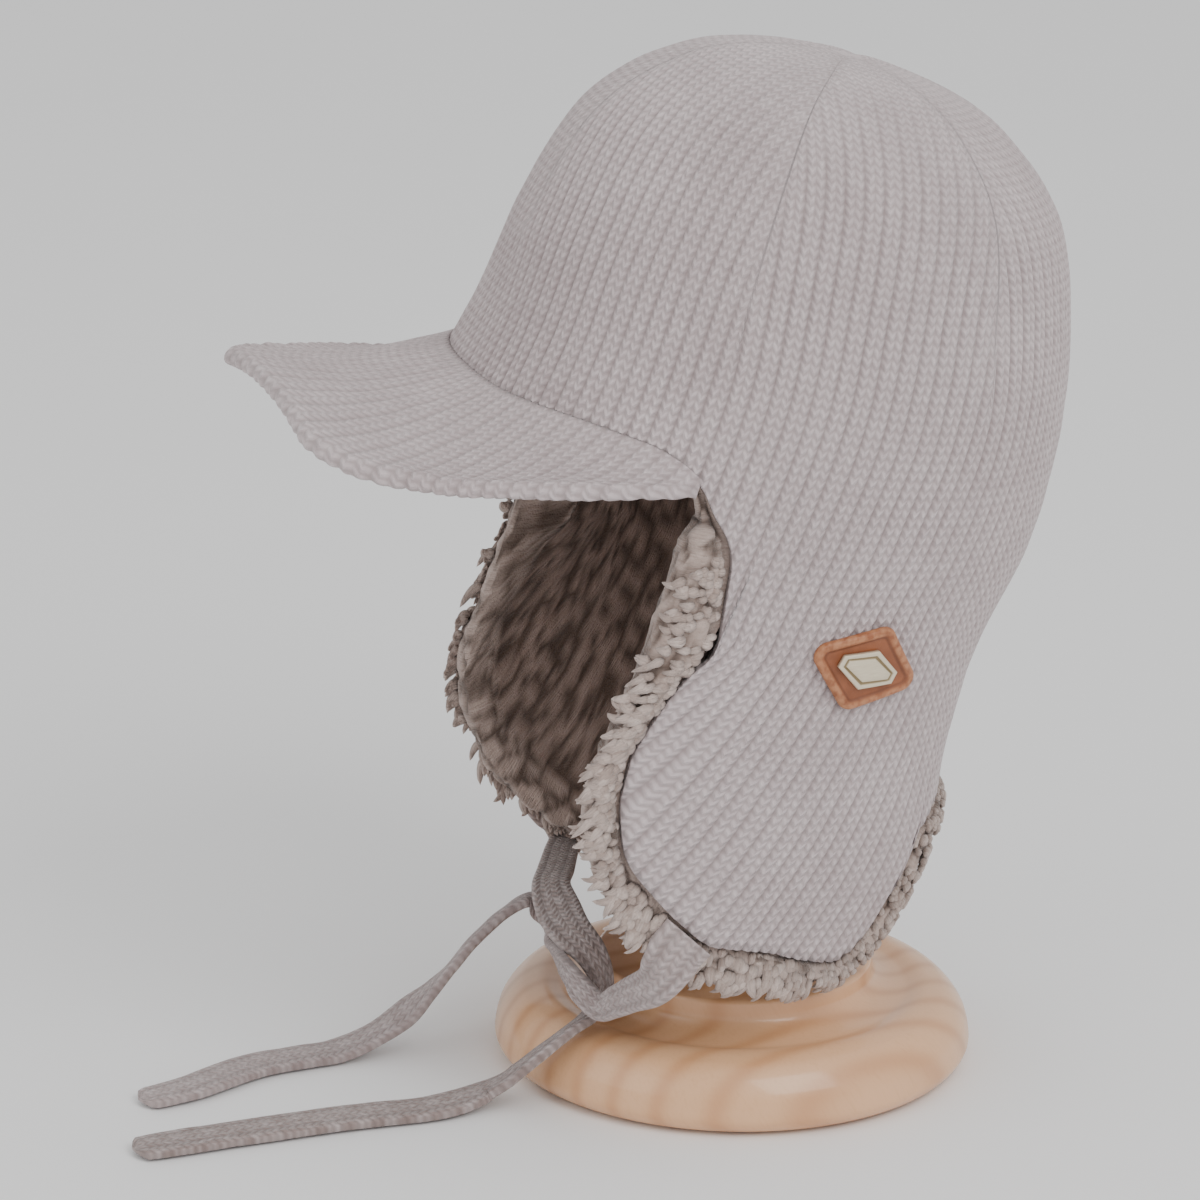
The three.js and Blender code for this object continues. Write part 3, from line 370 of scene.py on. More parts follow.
@dataclass
class HatForm:
    """The hat's outer knit surface, from which every wall is measured."""

    length: float = 217.0
    width: float = 180.0
    crown_depth: float = 131.0
    flap_depth: float = 172.0
    tilt: float = 15.0
    pole_back: float = 34.0
    pole_height: float = 365.7
    knit_wall: float = 3.0
    lining_wall: float = 6.0
    clearance: float = 0.3
    rear_square: float = 2.2
    fan_fall: float = 0.35
    fan_power: float = 1.35
    ribs: int = 90
    last: int = field(init=False, default=len(FORM) - 1)

    def __post_init__(self) -> None:
        """Work out the sections in millimetres and the count of ribs round the hat."""
        form = np.array(FORM, float)
        self.drops = form[:, 0] * self.crown_depth + form[:, 1] * self.flap_depth
        self.halves = form[:, 2] * self.length / 2
        self.wides = form[:, 3] * self.width / 2
        self.mids = form[:, 4] * self.length / 2
        self.squares = form[:, 5]
        self.hem_table = np.array(HEM, float)
        self.fine_sections = np.linspace(0, self.last, 6000)
        self.fine_drops = self.drop_of(self.fine_sections)
        turns = np.linspace(0, 180, 721)
        seam = self.outer(turns, np.full_like(turns, self.section_at(self.crown_depth)))
        lengths = np.linalg.norm(np.diff(seam, axis=0), axis=1)
        arc = np.concatenate([[0], np.cumsum(lengths)])
        self.rib_turns = turns
        self.rib_counts = arc / arc[-1] * self.ribs / 2

    @property
    def lining_face(self) -> float:
        """Depth of the lining's outer face."""
        return self.knit_wall + self.clearance

    @property
    def lining_back(self) -> float:
        """Depth of the lining's inner face."""
        return self.lining_face + self.lining_wall

    def drop_of(self, section: Number) -> np.ndarray:
        """Distance below the pole of a section number."""
        return through_sections(self.drops, self.drops[1], section)

    def section_at(self, drop: Number) -> np.ndarray:
        """Section number at a distance below the pole."""
        return np.interp(drop, self.fine_drops, self.fine_sections)

    def rib_of(self, turn: Number) -> np.ndarray:
        """Count of ribs from the front to a column, negative on the far side."""
        return np.sign(turn) * np.interp(np.abs(turn), self.rib_turns, self.rib_counts)

    def turn_of(self, rib: Number) -> np.ndarray:
        """Column at a count of ribs from the front."""
        return np.sign(rib) * np.interp(np.abs(rib), self.rib_counts, self.rib_turns)

    def outer(self, angle: Number, section: Number) -> np.ndarray:
        """Find points of the outer knit surface in the hat's own axes.

        Args:
            angle: Degrees round the hat from the front.
            section: Section numbers from the pole down.

        Returns:
            Points in millimetres.
        """
        section = np.maximum(section, 1e-4)
        half = through_sections(self.halves, -self.halves[1], section)
        wide = through_sections(self.wides, -self.wides[1], section)
        mid = through_sections(self.mids, self.mids[1], section)
        side = np.sin(np.radians(angle))
        front = np.cos(np.radians(angle))
        front_square = through_sections(self.squares, self.squares[1], section)
        square = np.where(front > 0, front_square, self.rear_square)
        span = np.abs(side / wide) ** square + np.abs(front / half) ** square
        radius = span ** (-1 / square)
        return np.stack([radius * side, mid - radius * front, -self.drop_of(section)], axis=-1)

    def outward(self, angle: Number, section: Number) -> np.ndarray:
        """Find normals of the outer knit surface, pointing out of the hat.

        Args:
            angle: Degrees round the hat from the front.
            section: Section numbers from the pole down.

        Returns:
            Vectors of length one.
        """
        turn = 0.5
        slide = 0.02
        level = np.maximum(section, 2 * slide)
        right = self.outer(angle + turn, level) - self.outer(angle - turn, level)
        down = self.outer(angle, level + slide) - self.outer(angle, level - slide)
        return unit(np.cross(down, right))

    def skin(self, angle: Number, section: Number, depth: Number) -> np.ndarray:
        """Points at a depth below the knit surface; a negative depth is outside it."""
        depth = np.asarray(depth, float)[..., None]
        return self.outer(angle, section) - self.outward(angle, section) * depth

    def hem(self, column: int, turn: Number) -> np.ndarray:
        """Read one column of the hem's table."""
        return along_rows(self.hem_table[:, column], self.hem_table[:, 0], np.abs(turn))

    def hem_drop(self, turn: Number) -> np.ndarray:
        """Distance below the pole of the knit hem."""
        return self.crown_depth + self.hem(2, turn) * self.flap_depth

    def angle_at(self, turn: Number, drop: Number) -> np.ndarray:
        """Find where a column stands at a drop; below the crown the columns fan forwards.

        Args:
            turn: Columns, as degrees on the crown.
            drop: Distances below the pole.

        Returns:
            Degrees round the hat.
        """
        end = self.hem_drop(turn)
        fan = self.crown_depth + self.fan_fall * self.flap_depth
        start = np.where(end > fan * 1.05, fan, np.minimum(self.crown_depth, end))
        share = np.clip((drop - start) / np.maximum(end - start, 1e-6), 0, 1)
        shift = self.hem(1, turn) - np.abs(turn)
        side = np.where(turn < 0, -1, 1)
        return side * (np.abs(turn) + shift * share ** self.fan_power)

    def skirt(self, turn: Number, share: Number, depth: Number) -> np.ndarray:
        """Find points between the crown's last row and the hem.

        Args:
            turn: Columns, as degrees on the crown.
            share: Shares of the way down to the hem.
            depth: Depths below the knit surface.

        Returns:
            Points in millimetres.
        """
        top = self.drop_of(4.5)
        drop = top + (self.hem_drop(turn) - top) * share
        return self.skin(self.angle_at(turn, drop), self.section_at(drop), depth)

    def trim(self, turn: Number, way: Number, lift: Number, depth: Number,
             reach_size: float, roll_size: float) -> np.ndarray:
        """Find points of the pile that rolls out past the hem.

        Args:
            turn: Columns, as degrees on the crown.
            way: Shares of the way from the hem to the pile's edge.
            lift: How far the face comes out from under the knit, 0 to 1.
            depth: Depths below that face, as shares of the lining's wall.
            reach_size: How far the pile reaches past the hem.
            roll_size: How far it bulges beyond the knit.

        Returns:
            Points in millimetres.
        """
        lean = np.degrees(self.hem(3, turn) * reach_size / (self.width / 2))
        reach = self.hem(4, turn) * reach_size
        roll = self.hem(5, turn)
        side = np.where(turn < 0, -1, 1)
        angle = side * (self.hem(1, turn) + lean * way)
        face = self.lining_face - (self.lining_face + roll_size) * lift * roll
        section = np.minimum(self.section_at(self.hem_drop(turn) + reach * way), self.last)
        return self.skin(angle, section, face + depth * self.lining_wall)

    def place(self, points: np.ndarray) -> np.ndarray:
        """Move points from the hat's own axes to the scene.

        Args:
            points: Points in millimetres.

        Returns:
            Points in metres.
        """
        lean = math.radians(self.tilt)
        y = points[..., 1] * math.cos(lean) + points[..., 2] * math.sin(lean) + self.pole_back
        z = points[..., 2] * math.cos(lean) - points[..., 1] * math.sin(lean) + self.pole_height
        return np.stack([points[..., 0], y, z], axis=-1) * MM


class PieceMesh:
    """Collects points, faces and finish values, and makes one piece of them."""

    def __init__(self) -> None:
        """Start empty."""
        self.points: list[np.ndarray] = []
        self.finish: list[np.ndarray] = []
        self.faces: list[np.ndarray] = []
        self.uvs: list[np.ndarray] = []
        self.count = 0

    def add(self, points: np.ndarray, faces: np.ndarray, uvs: np.ndarray,
            crease_shade: np.ndarray, tone_and_light: np.ndarray) -> None:
        """Add points and the faces on them.

        Args:
            points: Points in metres.
            faces: Corner numbers, one row a face.
            uvs: One pair for each corner of each face.
            crease_shade: Painted shade in grooves, creases and hollows, 0 to 1.
            tone_and_light: How light each point is, from its own colour and from painted light, 0 to 1.
        """
        self.points.append(points)
        values = [crease_shade, tone_and_light, np.zeros_like(crease_shade), np.ones_like(crease_shade)]
        self.finish.append(np.stack(values, axis=-1))
        self.faces.append(faces + self.count)
        self.uvs.append(uvs.reshape(-1, 2))
        self.count += len(points)

    def add_loft(self, rows: np.ndarray, uvs: np.ndarray, crease_shade: np.ndarray,
                 tone_and_light: np.ndarray, tip: np.ndarray | None = None) -> None:
        """Add a grid of points that goes round as a skin, closed at each end by a fan.

        Args:
            rows: Points in metres, rows by columns.
            uvs: Pairs, rows by columns plus one.
            crease_shade: Painted shade of each point.
            tone_and_light: Own lightness and painted light of each point.
            tip: Point where the last fan meets, or its row's middle.
        """
        high, wide = rows.shape[:2]
        row, column = np.meshgrid(np.arange(high - 1), np.arange(wide), indexing="ij")
        after = (column + 1) % wide
        corners = [row * wide + column, row * wide + after,
                   (row + 1) * wide + after, (row + 1) * wide + column]
        faces = np.stack(corners, axis=-1).reshape(-1, 4)
        pairs = np.stack([uvs[row, column], uvs[row, column + 1],
                          uvs[row + 1, column + 1], uvs[row + 1, column]], axis=2)
        self.add(rows.reshape(-1, 3), faces, pairs, crease_shade.ravel(), tone_and_light.ravel())
        start = self.count - high * wide
        for end in (0, high - 1):
            ring = np.arange(wide) + start + end * wide - self.count
            following = np.roll(ring, -1)
            middle = np.zeros(wide, int)
            fan = np.stack([middle, following, ring], axis=-1)
            pairs = np.stack([uvs[end, :wide]] * 3, axis=1)
            meeting = tip if end and tip is not None else rows[end].mean(axis=0)
            self.add(meeting[None], fan, pairs, crease_shade[end, :1], tone_and_light[end, :1])

    def build(self, name: str, material: bpy.types.Material, slot: Slot,
              node: str) -> bpy.types.Object:
        """Make the piece, hang it on the root, and hide the part that it replaces.

        Args:
            name: Name of the piece.
            material: Its finish.
            slot: Not used.
            node: The node that it replaces.

        Returns:
            The piece.
        """
        mesh = bpy.data.meshes.new(name)
        faces = [face for block in self.faces for face in block.tolist()]
        mesh.from_pydata(np.concatenate(self.points).tolist(), [], faces)
        layer = mesh.uv_layers.new(name="run")
        layer.data.foreach_set("uv", np.concatenate(self.uvs).astype(np.float32).ravel())
        values = mesh.color_attributes.new(name=SHADE_AND_TONE_LAYER, type="FLOAT_COLOR", domain="POINT")
        values.data.foreach_set("color", np.concatenate(self.finish).astype(np.float32).ravel())
        shape = bmesh.new()
        shape.from_mesh(mesh)
        bmesh.ops.recalc_face_normals(shape, faces=shape.faces)
        shape.to_mesh(mesh)
        shape.free()
        mesh.polygons.foreach_set("use_smooth", [True] * len(mesh.polygons))
        mesh.materials.append(material)
        piece = bpy.data.objects.new(name, mesh)
        bpy.context.scene.collection.objects.link(piece)
        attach(piece, "root")
        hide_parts(node)
        LOG.info("made %s: %d faces", name, len(mesh.polygons))
        return piece


Feed = bpy.types.NodeSocket | float | tuple


class Graph:
    """Short calls for building one node tree."""

    def __init__(self, tree: bpy.types.NodeTree) -> None:
        """Keep the tree.

        Args:
            tree: Tree to build in.
        """
        self.tree = tree

    def node(self, kind: str, **settings) -> bpy.types.Node:
        """Add a node and set its properties.

        Args:
            kind: Blender's name of the node.
            settings: Properties of the node.

        Returns:
            The node.
        """
        made = self.tree.nodes.new(kind)
        for key, value in settings.items():
            setattr(made, key, value)
        return made

    def feed(self, socket: bpy.types.NodeSocket, value: Feed) -> None:
        """Link a socket into another, or set a plain value on it.

        Args:
            socket: Input to feed.
            value: Output to link, or a plain value.
        """
        if isinstance(value, bpy.types.NodeSocket):
            self.tree.links.new(value, socket)
        else:
            socket.default_value = value

    def math(self, operation: str, first: Feed, second: Feed = 0.0) -> bpy.types.NodeSocket:
        """Add one sum.

        Args:
            operation: Blender's name of the sum.
            first: First value.
            second: Second value.

        Returns:
            The result.
        """
        made = self.node("ShaderNodeMath", operation=operation)
        self.feed(made.inputs[0], first)
        self.feed(made.inputs[1], second)
        return made.outputs[0]

    def vector(self, x: Feed, y: Feed, z: Feed = 0.0) -> bpy.types.NodeSocket:
        """Join three values to a vector.

        Args:
            x: First value.
            y: Second value.
            z: Third value.

        Returns:
            The vector.
        """
        made = self.node("ShaderNodeCombineXYZ")
        for socket, value in zip(made.inputs, (x, y, z)):
            self.feed(socket, value)
        return made.outputs[0]

    def noise(self, vector: Feed, scale: float, detail: float = 2.0) -> bpy.types.NodeSocket:
        """Add a noise texture.

        Args:
            vector: Places to read it at.
            scale: How fine it is.
            detail: How many finer layers it has.

        Returns:
            Its value.
        """
        made = self.node("ShaderNodeTexNoise")
        self.feed(made.inputs["Vector"], vector)
        made.inputs["Scale"].default_value = scale
        made.inputs["Detail"].default_value = detail
        return made.outputs["Fac"]

    def spread(self, value: Feed, low: float, high: float) -> bpy.types.NodeSocket:
        """Stretch a range of values to 0 to 1.

        Args:
            value: Values to stretch.
            low: Value that becomes 0.
            high: Value that becomes 1.

        Returns:
            The stretched values.
        """
        made = self.node("ShaderNodeMapRange", clamp=True)
        self.feed(made.inputs["Value"], value)
        made.inputs["From Min"].default_value = low
        made.inputs["From Max"].default_value = high
        return made.outputs["Result"]

    def mix(self, share: Feed, first: Feed, second: Feed) -> bpy.types.NodeSocket:
        """Mix two colours.

        Args:
            share: Share of the second colour.
            first: First colour.
            second: Second colour.

        Returns:
            The mixed colour.
        """
        made = self.node("ShaderNodeMix", data_type="RGBA")
        self.feed(made.inputs["Factor"], share)
        self.feed(made.inputs[6], first)
        self.feed(made.inputs[7], second)
        return made.outputs[2]

    def bump(self, height: Feed, strength: float, distance: float,
             normal: bpy.types.NodeSocket | None = None) -> bpy.types.NodeSocket:
        """Turn a height into a normal.

        Args:
            height: Height of the relief, 0 to 1.
            strength: How strong it shows.
            distance: Real height of the relief in metres.
            normal: Normal that it adds to.

        Returns:
            The normal.
        """
        made = self.node("ShaderNodeBump")
        made.inputs["Strength"].default_value = strength
        made.inputs["Distance"].default_value = distance
        self.feed(made.inputs["Height"], height)
        if normal is not None:
            self.feed(made.inputs["Normal"], normal)
        return made.outputs["Normal"]

    def group(self, tree: bpy.types.NodeTree, **values: Feed) -> bpy.types.Node:
        """Add a shared group and feed its named sockets.

        Args:
            tree: The group.
            values: What each named input gets.

        Returns:
            The group's node.
        """
        made = self.node("ShaderNodeGroup", node_tree=tree)
        for key, value in values.items():
            self.feed(made.inputs[key], value)
        return made


class SharedGroups:
    """Effects that more than one finish uses."""

    def __init__(self) -> None:
        """Build the groups."""
        self.stitches = self._stitches()
        self.fuzz = self._fuzz()

    @staticmethod
    def _new(name: str, inputs: tuple[str, ...], outputs: tuple[str, ...]) -> tuple:
        """Start a group with named sockets.

        Args:
            name: Name of the group.
            inputs: Names of its inputs.
            outputs: Names of its outputs.

        Returns:
            Its graph, its input node and its output node.
        """
        tree = bpy.data.node_groups.new(name, "ShaderNodeTree")
        for label in inputs:
            kind = "NodeSocketVector" if label == "Vector" else "NodeSocketFloat"
            tree.interface.new_socket(name=label, in_out="INPUT", socket_type=kind)
        for label in outputs:
            tree.interface.new_socket(name=label, in_out="OUTPUT", socket_type="NodeSocketFloat")
        graph = Graph(tree)
        return graph, graph.node("NodeGroupInput"), graph.node("NodeGroupOutput")

    def _stitches(self) -> bpy.types.NodeTree:
        """Build slanted stitches along each wale, and streaks of paler wool.

        Returns:
            The group.
        """
        graph, source, result = self._new(
            "Knit stitches", ("Wale", "Course"), ("Height", "Heather"))
        wale = source.outputs["Wale"]
        course = source.outputs["Course"]
        within = graph.math("FRACT", wale)
        off = graph.math("ABSOLUTE", graph.math("SUBTRACT", within, 0.5))
        slant = graph.math("ADD", course, graph.math("MULTIPLY", off, 1.1))
        wave = graph.math("SINE", graph.math("MULTIPLY", slant, 2 * math.pi))
        leg = graph.math("MULTIPLY_ADD", wave, 0.5)
        leg.node.inputs[2].default_value = 0.5
        edge = graph.math("MULTIPLY", graph.math("MULTIPLY", off, off), 3.2)
        rounded = graph.math("SUBTRACT", 1.0, edge)
        graph.feed(result.inputs["Height"], graph.math("MULTIPLY", leg, rounded))
        streak = graph.vector(graph.math("MULTIPLY", wale, 2.3), graph.math("MULTIPLY", course, 0.55))
        graph.feed(result.inputs["Heather"], graph.noise(streak, 1.0, 3.0))
        return graph.tree

    def _fuzz(self) -> bpy.types.NodeTree:
        """Build fine loose fibres, and wide soft patches of tone.

        Returns:
            The group.
        """
        graph, source, result = self._new("Fibre fuzz", ("Vector",), ("Height", "Patches"))
        vector = source.outputs["Vector"]
        fine = graph.noise(vector, 1500.0, 4.0)
        loose = graph.noise(vector, 420.0, 3.0)
        total = graph.math("ADD", fine, graph.math("MULTIPLY", loose, 0.7))
        graph.feed(result.inputs["Height"], total)
        graph.feed(result.inputs["Patches"], graph.noise(vector, 38.0, 2.0))
        return graph.tree


@dataclass(frozen=True)
class Finish:
    """What every finish shares: its name and a blank material to build in."""

    name: str

    def start(self) -> tuple[bpy.types.Material, Graph, bpy.types.Node]:
        """Make an empty material.

        Returns:
            The material, its graph and its surface shader.
        """
        material = bpy.data.materials.new(self.name)
        material.use_nodes = True
        graph = Graph(material.node_tree)
        return material, graph, material.node_tree.nodes["Principled BSDF"]

    @staticmethod
    def stored(graph: Graph) -> tuple[bpy.types.NodeSocket, bpy.types.NodeSocket]:
        """Read what the mesh stores at each point.

        Args:
            graph: Graph of the material.

        Returns:
            The painted shade of creases, and the lightness, partly painted light.
        """
        source = graph.node("ShaderNodeAttribute", attribute_name=SHADE_AND_TONE_LAYER)
        parts = graph.node("ShaderNodeSeparateColor")
        graph.feed(parts.inputs[0], source.outputs["Color"])
        return parts.outputs[0], parts.outputs[1]


@dataclass(frozen=True)
class KnitFinish(Finish):
    """Heathered wool knit, with painted light and shade mixed by lightness, and painted shade in its
    grooves.
    """

    lit: tuple
    shade: tuple
    groove: tuple
    wales: float = 2.0
    stitch_depth: float = 0.0009

    def build(self, groups: SharedGroups) -> bpy.types.Material:
        """Build the finish.

        Args:
            groups: The shared groups.

        Returns:
            The material.
        """
        material, graph, shader = self.start()
        crease_shade, tone_and_light = self.stored(graph)
        run = graph.node("ShaderNodeUVMap", uv_map="run")
        parts = graph.node("ShaderNodeSeparateXYZ")
        graph.feed(parts.inputs[0], run.outputs[0])
        wale = graph.math("MULTIPLY", parts.outputs[0], self.wales)
        stitches = graph.group(groups.stitches, Wale=wale, Course=parts.outputs[1])
        place = graph.node("ShaderNodeTexCoord").outputs["Object"]
        fuzz = graph.group(groups.fuzz, Vector=place)
        # Painted light: lightness mixes the shade colour up to the lit colour of the same knit.
        base = graph.mix(tone_and_light, self.shade, self.lit)
        flecks = graph.spread(stitches.outputs["Heather"], 0.42, 0.7)
        pale = graph.mix(graph.math("MULTIPLY", flecks, 0.42), base, colour(232, 222, 222))
        patches = graph.spread(fuzz.outputs["Patches"], 0.35, 0.65)
        toned = graph.mix(graph.math("MULTIPLY", patches, 0.25), pale, self.shade)
        # Painted shade between the stitches and in the creases, in the groove colour.
        between = graph.spread(stitches.outputs["Height"], 0.35, 0.0)
        stitch_shaded = graph.mix(graph.math("MULTIPLY", between, 0.38), toned, self.groove)
        groove_shaded = graph.mix(graph.math("MULTIPLY", crease_shade, 0.62), stitch_shaded, self.groove)
        graph.feed(shader.inputs["Base Color"], groove_shaded)
        shader.inputs["Roughness"].default_value = 0.95
        shader.inputs["Sheen Weight"].default_value = 0.25
        shader.inputs["Sheen Roughness"].default_value = 0.6
        shader.inputs["Specular IOR Level"].default_value = 0.2
        rough = graph.bump(fuzz.outputs["Height"], 0.5, 0.0005)
        normal = graph.bump(stitches.outputs["Height"], 0.75, self.stitch_depth, rough)
        graph.feed(shader.inputs["Normal"], normal)
        return material


@dataclass(frozen=True)
class PileFinish(Finish):
    """Curly wool pile, with painted shade between its clumps and inside the hat."""

    deep: tuple
    middle: tuple
    light: tuple

    def build(self, groups: SharedGroups) -> bpy.types.Material:
        """Build the finish.

        Args:
            groups: The shared groups.

        Returns:
            The material.
        """
        material, graph, shader = self.start()
        crease_shade, tone_and_light = self.stored(graph)
        run = graph.node("ShaderNodeUVMap", uv_map="run")
        strand = graph.node("ShaderNodeMapping")
        strand.inputs["Scale"].default_value = (9.0, 0.6, 1.0)
        graph.feed(strand.inputs["Vector"], run.outputs[0])
        strands = graph.noise(strand.outputs[0], 1.0, 3.0)
        place = graph.node("ShaderNodeTexCoord").outputs["Object"]
        fuzz = graph.group(groups.fuzz, Vector=place)
        # Painted shade: lightness keeps the pile inside the hat at the shaded middle colour, and the
        # lit trim at the light colour.
        base = graph.mix(tone_and_light, self.middle, self.light)
        lines = graph.spread(strands, 0.4, 0.62)
        lined = graph.mix(graph.math("MULTIPLY", lines, 0.3), base, self.middle)
        # Painted shade between the clumps, in the deep colour.
        shaded = graph.mix(graph.math("MULTIPLY", crease_shade, 0.85), lined, self.deep)
        graph.feed(shader.inputs["Base Color"], shaded)
        shader.inputs["Roughness"].default_value = 0.9
        shader.inputs["Sheen Weight"].default_value = 0.3
        shader.inputs["Sheen Roughness"].default_value = 0.5
        shader.inputs["Specular IOR Level"].default_value = 0.25
        rough = graph.bump(fuzz.outputs["Height"], 0.6, 0.0008)
        graph.feed(shader.inputs["Normal"], graph.bump(strands, 0.8, 0.0012, rough))
        return material


@dataclass(frozen=True)
class LeatherFinish(Finish):
    """Smooth brown leather, paler in patches along the top of its raised edge."""

    field_colour: tuple
    pale_crest: tuple
    deep: tuple

    def build(self) -> bpy.types.Material:
        """Build the finish.

        Returns:
            The material.
        """
        material, graph, shader = self.start()
        crease_shade, tone_and_light = self.stored(graph)
        place = graph.node("ShaderNodeTexCoord").outputs["Object"]
        cells = graph.node("ShaderNodeTexVoronoi", feature="DISTANCE_TO_EDGE")
        cells.inputs["Scale"].default_value = 1100.0
        graph.feed(cells.inputs["Vector"], place)
        blotches = graph.spread(graph.noise(place, 160.0, 4.0), 0.35, 0.68)
        base = graph.mix(graph.math("MULTIPLY", blotches, 0.4), self.field_colour, self.deep)
        pale_crest_mask = graph.math("MULTIPLY", tone_and_light, graph.spread(graph.noise(place, 420.0), 0.3, 0.6))
        pale_crest = graph.mix(graph.math("MULTIPLY", pale_crest_mask, 0.75), base, self.pale_crest)
        # Painted shade at the patch's foot and round its recess, in the deep colour.
        graph.feed(shader.inputs["Base Color"], graph.mix(crease_shade, pale_crest, self.deep))
        graph.feed(shader.inputs["Roughness"], graph.math("MULTIPLY_ADD", blotches, 0.15))
        shader.inputs["Roughness"].links[0].from_node.inputs[2].default_value = 0.4
        grain = graph.spread(cells.outputs["Distance"], 0.0, 0.12)
        graph.feed(shader.inputs["Normal"], graph.bump(grain, 0.3, 0.0002))
        return material


@dataclass(frozen=True)
class GiltFinish(Finish):
    """Pale gilt metal with a finely brushed face."""

    bright: tuple
    dull: tuple

    def build(self) -> bpy.types.Material:
        """Build the finish.

        Returns:
            The material.
        """
        material, graph, shader = self.start()
        crease_shade, _ = self.stored(graph)
        place = graph.node("ShaderNodeTexCoord").outputs["Object"]
        brush = graph.node("ShaderNodeMapping")
        brush.inputs["Scale"].default_value = (500.0, 250.0, 5200.0)
        graph.feed(brush.inputs["Vector"], place)
        lines = graph.noise(brush.outputs[0], 1.0, 2.0)
        base = graph.mix(graph.math("MULTIPLY", lines, 0.35), self.bright, self.dull)
        # Painted shade in the plate's groove, in the dull colour.
        graph.feed(shader.inputs["Base Color"], graph.mix(crease_shade, base, self.dull))
        shader.inputs["Metallic"].default_value = 0.55
        graph.feed(shader.inputs["Roughness"], graph.spread(lines, -0.9, 1.6))
        graph.feed(shader.inputs["Normal"], graph.bump(lines, 0.25, 0.0001))
        return material


@dataclass(frozen=True)
class WoodFinish(Finish):
    """Glossy lacquered pine with long growth lines."""

    early: tuple
    late: tuple
    line: tuple

    def build(self) -> bpy.types.Material:
        """Build the finish.

        Returns:
            The material.
        """
        material, graph, shader = self.start()
        place = graph.node("ShaderNodeTexCoord").outputs["Object"]
        log = graph.node("ShaderNodeMapping")
        log.inputs["Location"].default_value = (0.16, 0.06, 0.05)
        log.inputs["Rotation"].default_value = (math.radians(62), math.radians(12), 0)
        graph.feed(log.inputs["Vector"], place)
        rings = graph.node("ShaderNodeTexWave", wave_type="RINGS", rings_direction="Z")
        graph.feed(rings.inputs["Vector"], log.outputs[0])
        rings.inputs["Scale"].default_value = 22.0
        rings.inputs["Distortion"].default_value = 2.6
        rings.inputs["Detail"].default_value = 1.5
        rings.inputs["Detail Scale"].default_value = 0.35
        late = graph.math("POWER", rings.outputs["Fac"], 2.6)
        pores = graph.node("ShaderNodeMapping")
        pores.inputs["Scale"].default_value = (900.0, 60.0, 900.0)
        graph.feed(pores.inputs["Vector"], log.outputs[0])
        fibres = graph.noise(pores.outputs[0], 1.0, 2.0)
        base = graph.mix(graph.noise(place, 9.0), self.early, self.late)
        lined = graph.mix(graph.math("MULTIPLY", late, 0.55), base, self.line)
        flecked = graph.math("MULTIPLY", graph.spread(fibres, 0.5, 0.75), 0.16)
        graph.feed(shader.inputs["Base Color"], graph.mix(flecked, lined, self.line))
        shader.inputs["Roughness"].default_value = 0.42
        shader.inputs["Coat Weight"].default_value = 0.55
        shader.inputs["Coat Roughness"].default_value = 0.12
        graph.feed(shader.inputs["Normal"], graph.bump(fibres, 0.06, 0.0002))
        return material


